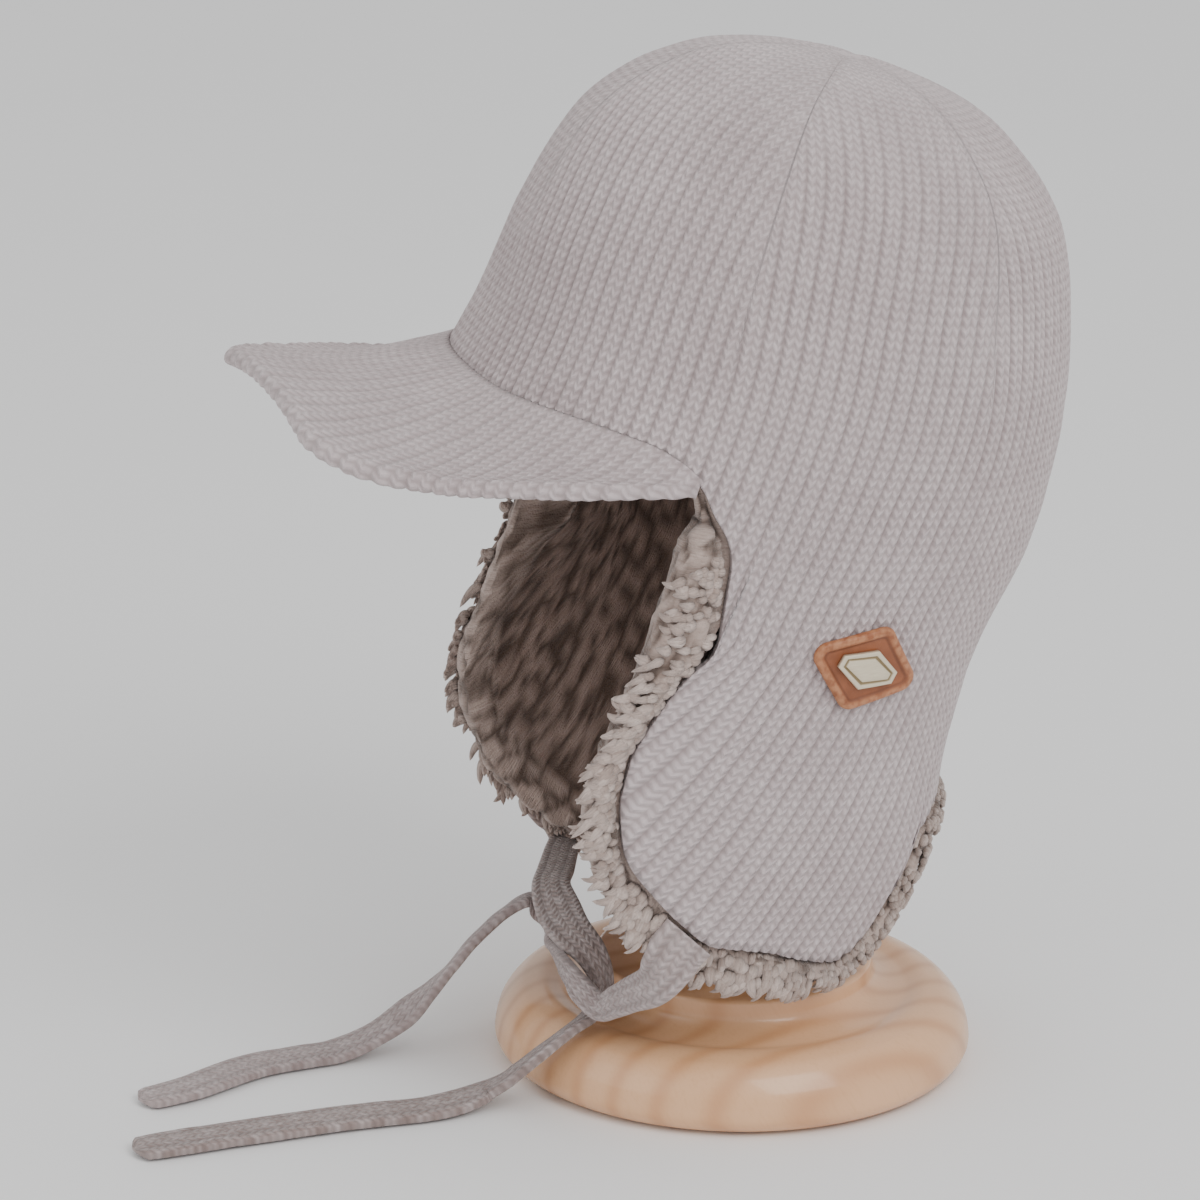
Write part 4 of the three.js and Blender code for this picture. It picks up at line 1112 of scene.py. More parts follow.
@dataclass
class KnitShell:
    """The crown, flaps and nape: ribs all round, drawn together in wedges at the top."""

    form: HatForm
    across_rib: int = 8
    crown_rows: int = 56
    skirt_rows: int = 50
    groove: float = 1.15
    half_groove: float = 0.55
    groove_width: float = 0.13
    half_groove_width: float = 0.1
    crest: float = 0.35
    stitch: float = 3.4
    wedge: float = 60.0
    wedge_seam: float = 2.6
    wave: float = 0.45
    inner_shares: tuple = (0.85, 0.6, 0.3)
    inner_sections: tuple = (4.4, 3.2, 2.1, 1.2, 0.5)

    def _wedge_middle(self, turn: np.ndarray) -> np.ndarray:
        """Column at the middle of the wedge that a column lies in."""
        return (np.floor(turn / self.wedge) + 0.5) * self.wedge

    def build(self, material: bpy.types.Material, noise: SpaceNoise) -> bpy.types.Object:
        """Make the shell.

        Args:
            material: Its finish.
            noise: Noise for the knit's unevenness.

        Returns:
            The piece.
        """
        form = self.form
        count = form.ribs * self.across_rib
        ribs = np.linspace(-form.ribs / 2, form.ribs / 2, count + 1)
        turns = form.turn_of(ribs)
        sections = np.linspace(0.14, 4.5, self.crown_rows)
        shares = np.linspace(0, 1, self.skirt_rows + 1)[1:]
        turn_grid, section_grid = np.meshgrid(turns, sections)
        crown = form.skin(turn_grid, section_grid, 0)
        turn_skirt, share_grid = np.meshgrid(turns, shares)
        smooth = np.concatenate([crown, form.skirt(turn_skirt, share_grid, 0)])
        drops = -smooth[..., 2]
        level = form.section_at(drops)
        angles = form.angle_at(np.broadcast_to(turns, drops.shape), drops)
        outward = form.outward(angles, level)
        wide = through_sections(form.wides, -form.wides[1], np.minimum(level, 5.0))
        ratio = np.clip(wide / (form.width / 2), 0, 1)
        middle = self._wedge_middle(turns)
        counted = form.rib_of(middle) + (ribs - form.rib_of(middle)) * ratio
        edge = np.abs(turns - np.round(turns / self.wedge) * self.wedge)
        gap = np.radians(edge) * np.linalg.norm(smooth[..., :2], axis=-1)
        seam = np.exp(-(gap / self.wedge_seam) ** 2) * (ratio < 0.97)
        near = np.abs(counted - np.round(counted))
        half = np.abs(counted - 0.5 - np.round(counted - 0.5))
        main_line = np.exp(-(near / self.groove_width) ** 2)
        half_line = np.exp(-(half / self.half_groove_width) ** 2)
        calm = np.clip(ratio * 1.45 - 0.35, 0.18, 1) * (1 - seam)
        uneven = 1 + 0.35 * noise.smooth(smooth, 14.0)
        relief = self.crest - (self.groove * main_line + self.half_groove * half_line) * uneven
        low = noise.smooth(smooth, 34.0) * self.wave + noise.smooth(smooth, 9.0) * 0.2
        height = relief * calm + low - 0.5 * seam
        rows = smooth + outward * height[..., None]
        steps = np.linalg.norm(np.diff(smooth, axis=0), axis=-1)
        run = np.concatenate([np.zeros((1, count + 1)), np.cumsum(steps, axis=0)]) / self.stitch
        # Painted shade in the rib grooves and the wedge seams.
        crease_shade = np.clip(main_line * 0.8 + half_line * 0.35, 0, 1) * calm + seam * 0.25
        # Lightness is random, plus painted light that makes the crown lighter towards the top.
        top = np.clip((0.55 - ratio) * 1.6, 0, 0.5)
        tone_and_light = np.clip(0.62 + 0.3 * noise.smooth(smooth, 26.0) + top, 0, 1)

        hem = []
        for depth in (0.8, 1.9, form.knit_wall):
            hem.append(form.skirt(turns, np.ones_like(turns), np.full_like(turns, depth)))
        inner = [form.skirt(turns, np.full_like(turns, share), form.knit_wall * np.ones_like(turns))
                 for share in self.inner_shares]
        inner += [form.skin(turns, np.full_like(turns, section), form.knit_wall * np.ones_like(turns))
                  for section in self.inner_sections]
        back = np.array(hem + inner)
        rows = np.concatenate([rows, back])
        flat = np.zeros((len(back), count + 1))
        run = np.concatenate([run, run[-1] + flat])
        counted = np.concatenate([counted, np.broadcast_to(ribs, flat.shape)])
        # The hem's cut edge and the inside face get painted shade and a darker lightness.
        crease_shade = np.concatenate([crease_shade, flat + 0.8])
        tone_and_light = np.concatenate([tone_and_light, flat + 0.3])

        piece = PieceMesh()
        uvs = np.stack([counted, run], axis=-1)
        piece.add_loft(form.place(rows[:, :-1]), uvs, crease_shade[:, :-1], tone_and_light[:, :-1])
        return piece.build("knit_crown_and_flaps", material, Slot.KNIT, "knit_shell")


@dataclass
class Lining:
    """The pile inside the hat and the locks that roll out past its hem."""

    form: HatForm
    columns: int = 480
    reach: float = 12.0
    roll: float = 2.2
    clump: float = 9.0
    inner_rows: int = 78
    locks: int = 1100
    lock_length: float = 12.5
    lock_width: float = 5.2
    lock_steps: int = 8
    lock_sides: int = 6
    lock_seed: int = 41

    def _section(self, count: int) -> np.ndarray:
        """Read the rolled pile's section with rows close together.

        Args:
            count: How many rows to read.

        Returns:
            Way, lift and depth of each row.
        """
        table = np.array(TRIM_SECTION)
        places = np.arange(len(table))
        fine = np.linspace(0, len(table) - 1, count)
        return np.stack([np.interp(fine, places, table[:, k]) for k in range(3)], axis=-1)

    def _body(self, piece: PieceMesh, noise: SpaceNoise) -> None:
        """Add the lining's wall with its clumps.

        Args:
            piece: Piece to add to.
            noise: Noise that places the clumps.
        """
        form = self.form
        turns = np.linspace(-180, 180, self.columns + 1)
        ones = np.ones_like(turns)
        hidden = [form.skin(turns, ones * s, ones * form.lining_face) for s in (0.4, 1.5, 3.0, 4.5)]
        hidden += [form.skirt(turns, ones * s, ones * form.lining_face) for s in (0.4, 0.75, 0.95)]
        trim = [form.trim(turns, ones * way, lift, ones * depth, self.reach, self.roll)
                for way, lift, depth in self._section(26)]
        inside = [form.skirt(turns, ones * s, ones * form.lining_back)
                  for s in np.linspace(0.985, 0.01, self.inner_rows // 2)]
        inside += [form.skin(turns, ones * s, ones * form.lining_back)
                   for s in np.linspace(4.45, 0.3, self.inner_rows // 2)]
        rows = np.array(hidden + trim + inside)
        warp = np.stack([noise.smooth(rows + 70 * k, 11.0) for k in range(3)], axis=-1)
        first, second = noise.clumps(rows + warp * 3.2, self.clump)
        between = np.exp(-((second - first) / 0.16) ** 2)
        down = np.gradient(rows, axis=0)
        across = np.gradient(rows, axis=1)
        out = unit(np.cross(across, down))
        away = rows - np.array([0, 0, -form.crown_depth])
        first_inside = len(hidden) + len(trim)
        facing = np.where(np.arange(len(rows)) < first_inside, 1, -1)[:, None]
        out *= np.sign(np.sum(out * away, axis=-1) * facing + 1e-9)[..., None]
        moved = np.ones(len(rows))
        moved[:len(hidden) + 3] = 0
        height = (0.9 - 1.5 * first - 1.0 * between) * moved[:, None] * 1.1
        rows = rows + out * height[..., None]
        # Painted shade: the pile inside the hat is much darker than the rolled trim; painted light
        # makes it lighter towards the bottom, where the flaps open.
        tone_and_light = np.full(rows.shape[:2], 0.62)
        tone_and_light[first_inside:] = 0.12
        low = np.clip((-rows[first_inside:, :, 2] - form.crown_depth) / form.flap_depth, 0, 1)
        tone_and_light[first_inside:] += 0.35 * low
        # Painted shade between the clumps and away from their middles, and more of it inside the hat.
        crease_shade = np.clip(between * 0.9 + (first - 0.5) * 0.5, 0, 1) * moved[:, None]
        crease_shade[first_inside:] = np.clip(crease_shade[first_inside:] + 0.18, 0, 1)
        steps = np.linalg.norm(np.diff(rows, axis=0), axis=-1)
        run = np.concatenate([np.zeros((1, self.columns + 1)), np.cumsum(steps, axis=0)]) / 4
        wide = np.broadcast_to(turns / 2, run.shape)
        uvs = np.stack([wide, run], axis=-1)
        piece.add_loft(form.place(rows[:, :-1]), uvs, crease_shade[:, :-1], tone_and_light[:, :-1])

    def _locks(self, piece: PieceMesh) -> None:
        """Add tapered locks that point away from the knit's edge.

        Args:
            piece: Piece to add to.
        """
        form = self.form
        random = np.random.default_rng(self.lock_seed)
        turns = np.linspace(-180, 180, 3601)
        edge = form.skirt(turns, np.ones_like(turns), np.zeros_like(turns))
        weight = np.linalg.norm(np.gradient(edge, axis=0), axis=-1)
        weight *= np.where(form.hem(4, turns) > 0.3, 1, 0)
        share = np.cumsum(weight) / np.sum(weight)
        picks = np.interp(random.uniform(0, 1, self.locks), share, turns)
        ways = random.uniform(0.05, 0.95, self.locks)
        lifts = np.interp(ways, [0, 0.28, 0.55, 0.82, 1], [0.2, 0.75, 1, 0.8, 0.2])
        zero = np.zeros(self.locks)

        def surface(turn: np.ndarray, way: np.ndarray) -> np.ndarray:
            """Points of the rolled pile's face."""
            return form.trim(turn, way, lifts, zero, self.reach, self.roll)

        root = surface(picks, ways)
        along = unit(surface(picks, ways + 0.1) - surface(picks, ways - 0.1))
        side = unit(surface(picks + 0.6, ways) - surface(picks - 0.6, ways))
        out = unit(np.cross(along, side))
        centre = np.array([0, 0, -form.crown_depth - form.flap_depth / 2])
        out *= np.sign(np.sum(out * (root - centre), axis=-1))[:, None]
        length = self.lock_length * random.uniform(0.55, 1.0, self.locks)
        length *= np.interp(form.hem(4, picks), [0.3, 0.9], [0.55, 1])
        width = self.lock_width * random.uniform(0.6, 1.1, self.locks)
        swing = random.uniform(-0.9, 0.9, self.locks)
        tip = random.uniform(-0.5, 0.5, self.locks)
        shine = random.uniform(0.55, 1.0, self.locks)
        t = np.linspace(0, 1, self.lock_steps)
        reach = length[:, None] * t * 0.72
        sway = length[:, None] * (swing[:, None] * t ** 2 * 0.45 + tip[:, None] * t ** 3 * 0.3)
        rise = np.sin(np.pi * t) * 1.3 - 1.9 * t ** 2
        path = root[:, None] + along[:, None] * reach[..., None]
        path = path + side[:, None] * sway[..., None] + out[:, None] * rise[None, :, None]
        tangent = unit(np.gradient(path, axis=1))
        across = unit(np.cross(tangent, out[:, None]))
        lift = unit(np.cross(across, tangent))
        taper = np.sqrt(np.clip(1 - t, 0.0, 1)) * np.minimum(1, 0.55 + 2 * t)
        ring = 2 * np.pi * np.arange(self.lock_sides) / self.lock_sides
        wide = (width[:, None] / 2 * taper)[..., None] * np.cos(ring)
        thick = (1.3 * taper)[None, :, None] * np.sin(ring)
        points = path[:, :, None] + across[:, :, None] * wide[..., None]
        points = points + lift[:, :, None] * thick[..., None]
        # Painted shade at the roots of the locks.
        root_shade = np.clip(0.55 - 1.6 * t[:-1], 0, 1)[:, None] * np.ones(self.lock_sides)
        for k in range(self.locks):
            rows = points[k, :-1]
            u, v = np.meshgrid(np.arange(self.lock_sides + 1) * 0.35 + k, t[:-1] * 3)
            tone_and_light = np.full(rows.shape[:2], shine[k])
            piece.add_loft(form.place(rows), np.stack([u, v], axis=-1), root_shade, tone_and_light,
                           tip=form.place(path[k, -1]))

    def build(self, material: bpy.types.Material, noise: SpaceNoise) -> bpy.types.Object:
        """Make the lining.

        Args:
            material: Its finish.
            noise: Noise that places the clumps.

        Returns:
            The piece.
        """
        piece = PieceMesh()
        self._body(piece, noise)
        self._locks(piece)
        return piece.build("pile_lining", material, Slot.PILE, "sherpa_lining")


@dataclass
class Brim:
    """The knit-covered peak, whose ribs run from the seam to its rolled edge."""

    form: HatForm
    reach: float = 69.8
    half_width: float = 88.0
    thickness: float = 6.0
    slope: float = 15.0
    arch: float = 9.0
    sag: float = 4.5
    half_angle: float = 61.5
    columns: int = 361
    rows: int = 40
    groove: float = 0.8
    stitch: float = 3.4

    def build(self, material: bpy.types.Material, noise: SpaceNoise) -> bpy.types.Object:
        """Make the peak.

        Args:
            material: Its finish.
            noise: Noise for the knit's unevenness.

        Returns:
            The piece.
        """
        form = self.form
        table = np.array(BRIM_EDGE)
        angles = np.linspace(-self.half_angle, self.half_angle, self.columns)
        turn = np.abs(angles) / self.half_angle
        across = np.sign(angles) * along_rows(table[:, 1], table[:, 0], turn)
        ahead = along_rows(table[:, 2], table[:, 0], turn)
        sink = along_rows(table[:, 3], table[:, 0], turn)
        thick = along_rows(table[:, 4], table[:, 0], turn) * self.thickness
        drop = form.crown_depth + sink * self.thickness
        stand = np.full_like(angles, -1.5 * form.clearance)
        top = form.skin(angles, form.section_at(drop), stand)
        under = form.skin(angles, form.section_at(drop + thick), stand)
        seam = form.section_at(form.crown_depth)
        corner = form.outer(self.half_angle, seam)[1]
        whole = corner - (form.outer(0.0, seam)[1] - self.reach)
        edge_x = across * self.half_width
        edge_y = corner - ahead * whole
        run = np.hypot(edge_x - top[:, 0], edge_y - top[:, 1])
        fall = math.tan(math.radians(self.slope)) * run + self.arch * across ** 2
        edge = np.stack([edge_x, edge_y, -form.crown_depth - fall], axis=-1)
        sag = self.sag * np.minimum(1, run / (self.reach / 2))
        below = edge - np.stack([0 * thick, 0 * thick, thick], axis=-1)
        share = np.linspace(0, 0.965, self.rows)[:, None, None]
        dip = np.zeros((self.rows, self.columns, 3))
        dip[..., 2] = sag * 4 * share[..., 0] * (1 - share[..., 0])
        upper = top + (edge - top) * share - dip
        lower = under + (below - under) * share - dip
        ribs = form.rib_of(angles)
        near = np.abs(ribs - np.round(ribs))
        half = np.abs(ribs - 0.5 - np.round(ribs - 0.5))
        lines = np.exp(-(near / 0.14) ** 2) + 0.5 * np.exp(-(half / 0.11) ** 2)
        crumple = noise.smooth(upper, 12.0) * 0.5 + noise.smooth(upper, 5.0) * 0.25
        fade = np.clip(share[..., 0] * 9, 0, 1)
        upper[..., 2] += (0.3 - self.groove * lines) * fade + crumple * fade
        lower[..., 2] += (self.groove * lines - 0.3) * fade
        turned = []
        for swing in np.radians([55, 25, 0, -25, -55]):
            out = unit(edge - top)
            middle = (upper[-1] + lower[-1]) / 2
            radius = np.linalg.norm(upper[-1] - lower[-1], axis=-1) / 2
            step = out * (math.cos(swing) * radius)[:, None] * 0.8
            rise = np.stack([0 * radius, 0 * radius, math.sin(swing) * radius], axis=-1)
            turned.append(middle + step + rise)
        rows = np.concatenate([upper, np.array(turned), lower[::-1]])
        steps = np.linalg.norm(np.diff(rows, axis=0), axis=-1)
        course = np.concatenate([np.zeros((1, self.columns)), np.cumsum(steps, axis=0)])
        uvs = np.stack([np.broadcast_to(ribs, course.shape), course / self.stitch], axis=-1)
        # Painted shade in the rib grooves, and heavy painted shade where the peak meets the crown.
        crease_shade = np.broadcast_to(np.clip(lines * 0.6, 0, 1), course.shape).copy()
        crease_shade[0] = 0.9
        tone_and_light = np.clip(0.6 + 0.3 * noise.smooth(rows, 20.0), 0, 1)
        piece = PieceMesh()
        sheet = form.place(rows).transpose(1, 0, 2)
        closed = np.concatenate([uvs, uvs[:1]]).transpose(1, 0, 2)
        piece.add_loft(sheet, closed, crease_shade.T, tone_and_light.T)
        return piece.build("knit_peak", material, Slot.KNIT, "brim")


@dataclass
class Tie:
    """One flat knit strap on its listed route."""

    name: str
    node: str
    route: tuple
    width: float = 16.0
    thickness: float = 4.0
    steps: int = 220
    sides: int = 28
    wales: int = 4
    stitch: float = 3.0

    def _path(self) -> tuple[np.ndarray, np.ndarray]:
        """Follow the route on a smooth curve.

        Returns:
            Points along it, and the row number of each.
        """
        rows = np.array(self.route, float)[:, :3]
        places = np.linspace(0, len(rows) - 1, self.steps + 1)
        i = np.minimum(np.floor(places).astype(int), len(rows) - 2)
        t = (places - i)[:, None]
        padded = np.concatenate([[2 * rows[0] - rows[1]], rows, [2 * rows[-1] - rows[-2]]])
        p0, p1, p2, p3 = (padded[i + k] for k in range(4))
        gaps = [np.linalg.norm(b - a, axis=1, keepdims=True) ** 0.5
                for a, b in ((p0, p1), (p1, p2), (p2, p3))]
        first = (p1 - p0) / gaps[0] - (p2 - p0) / (gaps[0] + gaps[1]) + (p2 - p1) / gaps[1]
        last = (p2 - p1) / gaps[1] - (p3 - p1) / (gaps[1] + gaps[2]) + (p3 - p2) / gaps[2]
        first = first * gaps[1]
        last = last * gaps[1]
        bend = (-3 * p1 + 3 * p2 - 2 * first - last) * t ** 2
        return p1 + first * t + bend + (2 * p1 - 2 * p2 + first + last) * t ** 3, places

    def build(self, material: bpy.types.Material, noise: SpaceNoise) -> bpy.types.Object:
        """Args:
            material: Its finish.
            noise: Noise for the knit's unevenness.

        Returns:
            The piece.
        """
        path, places = self._path()
        table = np.array(self.route, float)
        order = np.arange(len(table))
        face = np.stack([along_rows(table[:, k], order, places) for k in (3, 4, 5)], axis=-1)
        share = along_rows(table[:, 6], order, places)
        tangent = unit(np.gradient(path, axis=0))
        face = unit(face - tangent * np.sum(face * tangent, axis=-1, keepdims=True))
        across = np.cross(tangent, face)
        turn = 2 * np.pi * (np.arange(self.sides + 1) + 0.5) / self.sides
        thick = np.sign(np.cos(turn)) * np.abs(np.cos(turn)) ** 0.55
        wide = np.sign(np.sin(turn)) * np.abs(np.sin(turn)) ** 0.55
        steps = np.linalg.norm(np.diff(path, axis=0), axis=-1)
        run = np.concatenate([[0], np.cumsum(steps)])
        left = np.minimum(run, run[-1] - run)
        ends = np.sqrt(np.clip((run[-1] - run) / 3.0 + 0.1, 0.1, 1))
        wale = (wide + 1) / 2 * self.wales
        line = np.exp(-((wale - np.round(wale)) / 0.16) ** 2) * (np.abs(wide) < 0.9)
        depth = self.thickness / 2 * thick * (1 - 0.16 * line)
        lateral = (self.width / 2 * wide)[None] * (share * ends)[:, None]
        rows = path[:, None] + face[:, None] * (depth[None] * ends[:, None])[..., None]
        rows = rows + across[:, None] * lateral[..., None]
        rows = rows + face[:, None] * (0.2 * noise.smooth(rows, 7.0))[..., None]
        rows[..., 2] = np.maximum(rows[..., 2], 0.5)
        # Painted shade in the wale grooves.
        crease_shade = np.broadcast_to(line * 0.7, rows.shape[:2])
        tone_and_light = 0.5 + 0.3 * noise.smooth(rows, 15.0) + 0.5 * np.exp(-left / 14)[:, None]
        u = np.broadcast_to(wale / 2, rows.shape[:2])
        v = np.broadcast_to(run[:, None] / self.stitch, rows.shape[:2])
        piece = PieceMesh()
        piece.add_loft(rows[:, :-1] * MM, np.stack([u, v], axis=-1),
                       crease_shade[:, :-1], np.clip(tone_and_light, 0, 1)[:, :-1])
        strap = piece.build(self.name, material, Slot.TIE, self.node)
        return strap


@dataclass
class Badge:
    """The leather lozenge and the bare metal plate on it."""

    form: HatForm
    angle: float = 114.5
    drop: float = 192.5
    turn: float = -9.5
    length: float = 50.5
    height: float = 33.5
    corner: float = 5.0
    thickness: float = 3.2
    border: float = 3.2
    recess: float = 0.8
    plate_length: float = 23.0
    plate_height: float = 15.0
    plate_end: float = 4.4
    plate_thickness: float = 1.5
    points: int = 160

    def _on_knit(self, flat: np.ndarray, height: float) -> np.ndarray:
        """Wrap flat points onto the knit.

        Args:
            flat: Distances along and up from the badge's middle.
            height: Height above the knit.

        Returns:
            Points in the hat's own axes.
        """
        turn = math.radians(self.turn)
        level = flat[:, 0] * math.cos(turn) - flat[:, 1] * math.sin(turn)
        rise = flat[:, 0] * math.sin(turn) + flat[:, 1] * math.cos(turn)
        section = self.form.section_at(self.drop - rise)
        centre = self.form.outer(self.angle, section)
        around = np.hypot(centre[..., 0], centre[..., 1])
        angle = self.angle + np.degrees(level / around)
        depth = np.full_like(angle, -(self.form.clearance + height))
        return self.form.skin(angle, section, depth)

    def _lozenge(self, inset: float) -> np.ndarray:
        """Find the patch's outline, a lozenge with round corners.

        Args:
            inset: How far it is moved inwards.

        Returns:
            Points of the outline.
        """
        long = self.length / 2
        short = self.height / 2
        side = math.hypot(long, short)
        reach = long * short / side - self.corner
        middles = [(reach * side / short, 0), (0, reach * side / long),
                   (-reach * side / short, 0), (0, -reach * side / long)]
        lean = math.atan2(long, short)
        normals = [lean, math.pi - lean, math.pi + lean, 2 * math.pi - lean]
        radius = self.corner - inset
        outline = []
        per = self.points // 8
        for k, middle in enumerate(middles):
            start = normals[k - 1] - (2 * math.pi if k == 0 else 0)
            for swing in np.linspace(start, normals[k], per, endpoint=False):
                outline.append((middle[0] + radius * math.cos(swing),
                                middle[1] + radius * math.sin(swing)))
            after = middles[(k + 1) % 4]
            away = np.array([math.cos(normals[k]), math.sin(normals[k])]) * radius
            for share in np.linspace(0, 1, per, endpoint=False):
                place = np.array(middle) * (1 - share) + np.array(after) * share + away
                outline.append(tuple(place))
        return np.array(outline)

    def _hexagon(self, inset: float) -> np.ndarray:
        """Find the plate's outline, a long hexagon.

        Args:
            inset: How far it is moved inwards.

        Returns:
            Points of the outline.
        """
        long = self.plate_length / 2 - inset
        high = self.plate_height / 2 - inset * 1.15
        end = max(self.plate_end / 2 - inset * 0.45, 0.2)
        corners = np.array([(long, -end), (long, end), (0, high),
                            (-long, end), (-long, -end), (0, -high)])
        per = np.linspace(0, 1, 16, endpoint=False)[:, None]
        sides = [a * (1 - per) + b * per for a, b in zip(corners, np.roll(corners, -1, axis=0))]
        return np.concatenate(sides)

    def _make(self, rings: list, name: str, material: bpy.types.Material, slot: Slot,
              node: str) -> bpy.types.Object:
        """Join rings to one piece.

        Args:
            rings: Outline, scale, height, painted shade and lightness of each ring.
            name: Name of the piece.
            material: Its finish.
            slot: Its slot in the record.
            node: The node that it replaces.

        Returns:
            The piece.
        """
        rows = np.array([self._on_knit(outline * scale, height)
                         for outline, scale, height, _, _ in rings])
        wide = rows.shape[1]
        crease_shade = np.array([[ring[3]] * wide for ring in rings], float)
        tone_and_light = np.array([[ring[4]] * wide for ring in rings], float)
        u, v = np.meshgrid(np.arange(wide + 1) / 8, np.arange(len(rings)))
        piece = PieceMesh()
        piece.add_loft(self.form.place(rows), np.stack([u, v], axis=-1).astype(float), crease_shade, tone_and_light)
        return piece.build(name, material, slot, node)

    def build(self, leather: bpy.types.Material, metal: bpy.types.Material) -> None:
        """Make the patch and the plate.

        Args:
            leather: Finish of the patch.
            metal: Finish of the plate.
        """
        thick = self.thickness
        bottom = thick - self.recess
        edge = self._lozenge(0)
        inner = self._lozenge(self.border)
        # The fourth value of each ring is painted shade at the patch's foot and round its recess; the
        # fifth makes the top of the raised edge paler.
        rings = [(edge, 0.35, 0, 0, 0), (self._lozenge(0.8), 1, 0, 0.6, 0)]
        for swing in np.linspace(-0.9, 1.0, 7):
            inset = 1.1 * (1 - math.cos(swing * math.pi / 2))
            height = thick * (0.5 + 0.5 * math.sin(swing * math.pi / 2))
            rings.append((self._lozenge(inset), 1, height, 0, 0.3 + 0.5 * (swing > 0)))
        rings += [(self._lozenge(2.0), 1, thick, 0, 0.9), (self._lozenge(2.7), 1, thick * 0.97, 0, 0.5),
                  (inner, 1, thick * 0.88, 0.35, 0.1), (inner, 0.965, bottom, 0.55, 0),
                  (inner, 0.9, bottom, 0.1, 0), (inner, 0.5, bottom, 0, 0)]
        self._make(rings, "leather_patch", leather, Slot.LEATHER, "badge_patch")

        seat = bottom + self.form.clearance
        top = seat + self.plate_thickness
        groove = top - 0.4 * self.plate_thickness
        # The last value of each step is painted shade, darkest in the groove.
        steps = ((0, 0.5, seat, 0), (0, 1, seat, 0), (0, 1, top - 0.4, 0), (0.15, 1, top - 0.12, 0),
                 (0.4, 1, top, 0), (1.4, 1, top, 0), (1.55, 1, top - 0.1, 0.3),
                 (1.7, 1, groove, 1), (2.4, 1, groove, 1), (2.55, 1, top - 0.12, 0.3),
                 (2.7, 1, top, 0), (2.7, 0.5, top, 0))
        plate = [(self._hexagon(inset), scale, height, dark, 0) for inset, scale, height, dark in steps]
        self._make(plate, "bare_plate", metal, Slot.METAL, "badge_plate")


@dataclass
class Stand:
    """The turned base and the post that carries the crown from inside."""

    radius: float = 86.0
    height: float = 26.6
    boss_radius: float = 50.0
    boss_height: float = 11.0
    post_radius: float = 11.0
    foot_radius: float = 18.0
    rest_radius: float = 38.0
    rest_curve: float = 72.0
    rest_rim: float = 5.0
    clearance: float = 0.3
    segments: int = 144

    def _turned(self, profile: np.ndarray, name: str, material: bpy.types.Material,
                node: str) -> bpy.types.Object:
        """Turn a profile about the stand's axis.

        Args:
            profile: Radius and height of each point.
            name: Name of the piece.
            material: Its finish.
            node: The node that it replaces.

        Returns:
            The piece.
        """
        turn = np.linspace(0, 2 * np.pi, self.segments + 1)
        x = profile[:, :1] * np.cos(turn)
        y = profile[:, :1] * np.sin(turn)
        z = np.broadcast_to(profile[:, 1:], x.shape)
        rows = np.stack([x, y, z], axis=-1)
        u, v = np.meshgrid(turn * 8, np.arange(len(profile), dtype=float))
        piece = PieceMesh()
        blank = np.zeros((len(profile), self.segments))
        piece.add_loft(rows[:, :-1] * MM, np.stack([u, v], axis=-1), blank, blank)
        return piece.build(name, material, Slot.WOOD, node)

    def build(self, material: bpy.types.Material) -> None:
        """Make the base and the post.

        Args:
            material: Their finish.
        """
        edge = np.array(BASE_EDGE) * (self.radius, self.height)
        places = np.arange(len(edge))
        fine = np.linspace(0, len(edge) - 1, 50)
        foot = np.stack([along_rows(edge[:, k], places, fine) for k in (0, 1)], axis=-1)
        cove = edge[-1]
        top = self.height + self.boss_height
        t = np.linspace(0.08, 1, 12)
        span = cove[0] - self.boss_radius
        curve = np.stack([self.boss_radius + span * (1 - np.sin(t * np.pi / 2)),
                          cove[1] + self.boss_height * 0.62 * (1 - np.cos(t * np.pi / 2))], axis=-1)
        swing = np.linspace(0, np.pi / 2, 8)
        rim = np.stack([self.boss_radius - 1.8 + 1.8 * np.cos(swing),
                        top - 1.8 + 1.8 * np.sin(swing)], axis=-1)
        centre = [(0.8, 0), (self.radius * 0.6, 0)]
        base = np.concatenate([centre, foot, curve, rim, [(self.boss_radius * 0.5, top), (0.8, top)]])
        self._turned(base, "turned_base", material, "stand_base")

        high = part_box("stand_post")[1][2] / MM
        start = top + self.clearance
        out = np.linspace(self.rest_radius, 0.8, 14)
        dome = high - (self.rest_curve - np.sqrt(self.rest_curve ** 2 - out ** 2))
        rim_height = dome[0] - self.rest_rim
        shaft = [(0.8, start), (self.foot_radius, start), (self.foot_radius, start + 3),
                 (self.post_radius + 2.5, start + 8), (self.post_radius, start + 14),
                 (self.post_radius, rim_height - 26), (self.post_radius + 2, rim_height - 17),
                 (self.rest_radius * 0.5, rim_height - 8), (self.rest_radius * 0.96, rim_height)]
        post = np.concatenate([shaft, np.stack([out, dome], axis=-1)])
        self._turned(post, "turned_post", material, "stand_post")


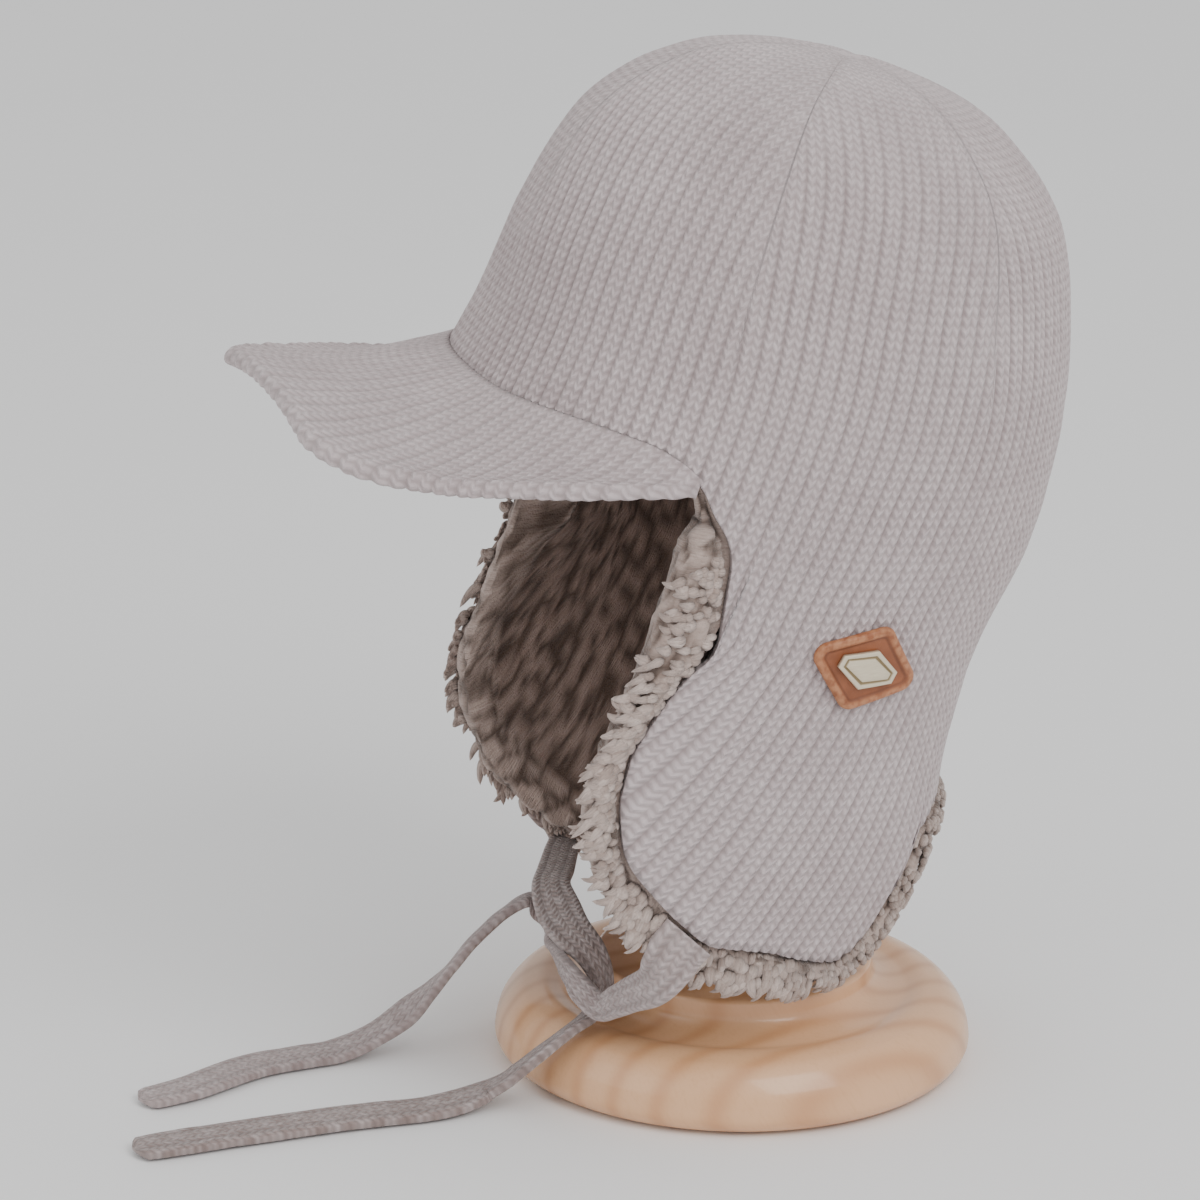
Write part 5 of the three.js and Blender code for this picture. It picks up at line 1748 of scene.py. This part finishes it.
@dataclass
class Studio:
    """Camera, floor and soft light."""

    azimuth: float = 72.0
    elevation: float = 18.16
    distance: float = 1.910
    target: tuple = (-0.01552, -0.04777, 0.16951)
    lens: float = 161.85
    roll: float = 0.89
    floor_size: float = 8.0

    def camera(self) -> None:
        """Make the camera at the photograph's angle."""
        turn = math.radians(self.azimuth)
        rise = math.radians(self.elevation)
        back = Vector((math.sin(turn) * math.cos(rise), -math.cos(turn) * math.cos(rise),
                       math.sin(rise)))
        level = Vector((math.cos(turn), math.sin(turn), 0))
        upright = back.cross(level)
        roll = math.radians(self.roll)
        right = level * math.cos(roll) + upright * math.sin(roll)
        up = upright * math.cos(roll) - level * math.sin(roll)
        data = bpy.data.cameras.new("camera")
        data.lens = self.lens
        data.sensor_width = 36.0
        data.clip_end = 100.0
        camera = bpy.data.objects.new("camera", data)
        camera.matrix_world = Matrix.Translation(Vector(self.target) + back * self.distance) @ (
            Matrix((right, up, back)).transposed().to_4x4())
        bpy.context.scene.collection.objects.link(camera)
        bpy.context.scene.camera = camera
        LOG.info("made the camera")

    def _lamp(self, name: str, place: tuple, power: float, size: float) -> None:
        """Add one soft square lamp that looks at the hat.

        Args:
            name: Name of the lamp.
            place: Where it stands.
            power: Its power in watts.
            size: Length of its sides.
        """
        data = bpy.data.lights.new(name, "AREA")
        data.energy = power
        data.size = size
        lamp = bpy.data.objects.new(name, data)
        lamp.location = place
        aim = Vector((0, 0, 0.18)) - Vector(place)
        lamp.rotation_euler = aim.to_track_quat("-Z", "Y").to_euler()
        bpy.context.scene.collection.objects.link(lamp)

    def room(self) -> None:
        """Make the floor and the lights."""
        half = self.floor_size / 2
        mesh = bpy.data.meshes.new("floor")
        corners = [(-half, -half, 0), (half, -half, 0), (half, half, 0), (-half, half, 0)]
        mesh.from_pydata(corners, [], [(0, 1, 2, 3)])
        material = bpy.data.materials.new("floor_paper")
        material.use_nodes = True
        graph = Graph(material.node_tree)
        shader = material.node_tree.nodes["Principled BSDF"]
        place = graph.node("ShaderNodeTexCoord").outputs["Object"]
        tint = graph.mix(graph.noise(place, 3.0), colour(247, 247, 247), colour(243, 243, 243))
        graph.feed(shader.inputs["Base Color"], tint)
        shader.inputs["Roughness"].default_value = 0.7
        mesh.materials.append(material)
        floor = bpy.data.objects.new("floor", mesh)
        bpy.context.scene.collection.objects.link(floor)
        world = bpy.data.worlds.new("studio")
        world.use_nodes = True
        background = world.node_tree.nodes["Background"]
        background.inputs["Color"].default_value = (1.0, 1.0, 1.0, 1.0)
        background.inputs["Strength"].default_value = 0.85
        bpy.context.scene.world = world
        self._lamp("key", (1.5, 0.5, 1.6), 22.0, 1.2)
        self._lamp("front", (0.6, -1.9, 1.1), 8.0, 1.6)
        LOG.info("made the room")


def main() -> None:
    """Build every sub-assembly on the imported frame."""
    logging.basicConfig(level=logging.INFO, format="%(name)s %(message)s")
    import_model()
    noise = SpaceNoise(7)
    groups = SharedGroups()
    form = HatForm()
    studio = Studio()
    studio.camera()

    # The far tie's knit is a darker copy of the near tie's knit: painted shade.
    near_tie = KnitFinish("tie_knit_near", colour(176, 160, 158), colour(150, 134, 132),
                          colour(98, 84, 80))
    far_tie = KnitFinish("tie_knit_far_shaded", colour(160, 144, 140), colour(138, 120, 115),
                         colour(86, 72, 68))
    Tie("near_tie", "tie_left", TIE_LEFT_ROUTE).build(near_tie.build(groups), noise)
    Tie("far_tie", "tie_right", TIE_RIGHT_ROUTE).build(far_tie.build(groups), noise)

    # lit and shade are painted light and painted shade of one knit; groove is painted shade in its
    # creases.
    knit = KnitFinish("heathered_knit", colour(206, 192, 193), colour(180, 165, 166),
                      colour(120, 104, 102)).build(groups)
    KnitShell(form).build(knit, noise)
    Brim(form).build(knit, noise)
    # middle is the pile in shade inside the hat and deep is its crevices, both painted shade; light is
    # the pile's own colour.
    pile = PileFinish("curly_pile", colour(63, 46, 33), colour(127, 100, 88),
                      colour(212, 195, 186)).build(groups)
    Lining(form).build(pile, noise)
    leather = LeatherFinish("brown_leather", colour(152, 88, 52), colour(196, 138, 98),
                            colour(92, 48, 26)).build()
    gilt = GiltFinish("pale_gilt", colour(228, 217, 194), colour(150, 132, 100)).build()
    Badge(form).build(leather, gilt)
    wood = WoodFinish("lacquered_pine", colour(226, 178, 138), colour(217, 169, 125),
                      colour(190, 132, 86)).build()
    Stand().build(wood)
    studio.room()


if __name__ == "__main__":
    main()
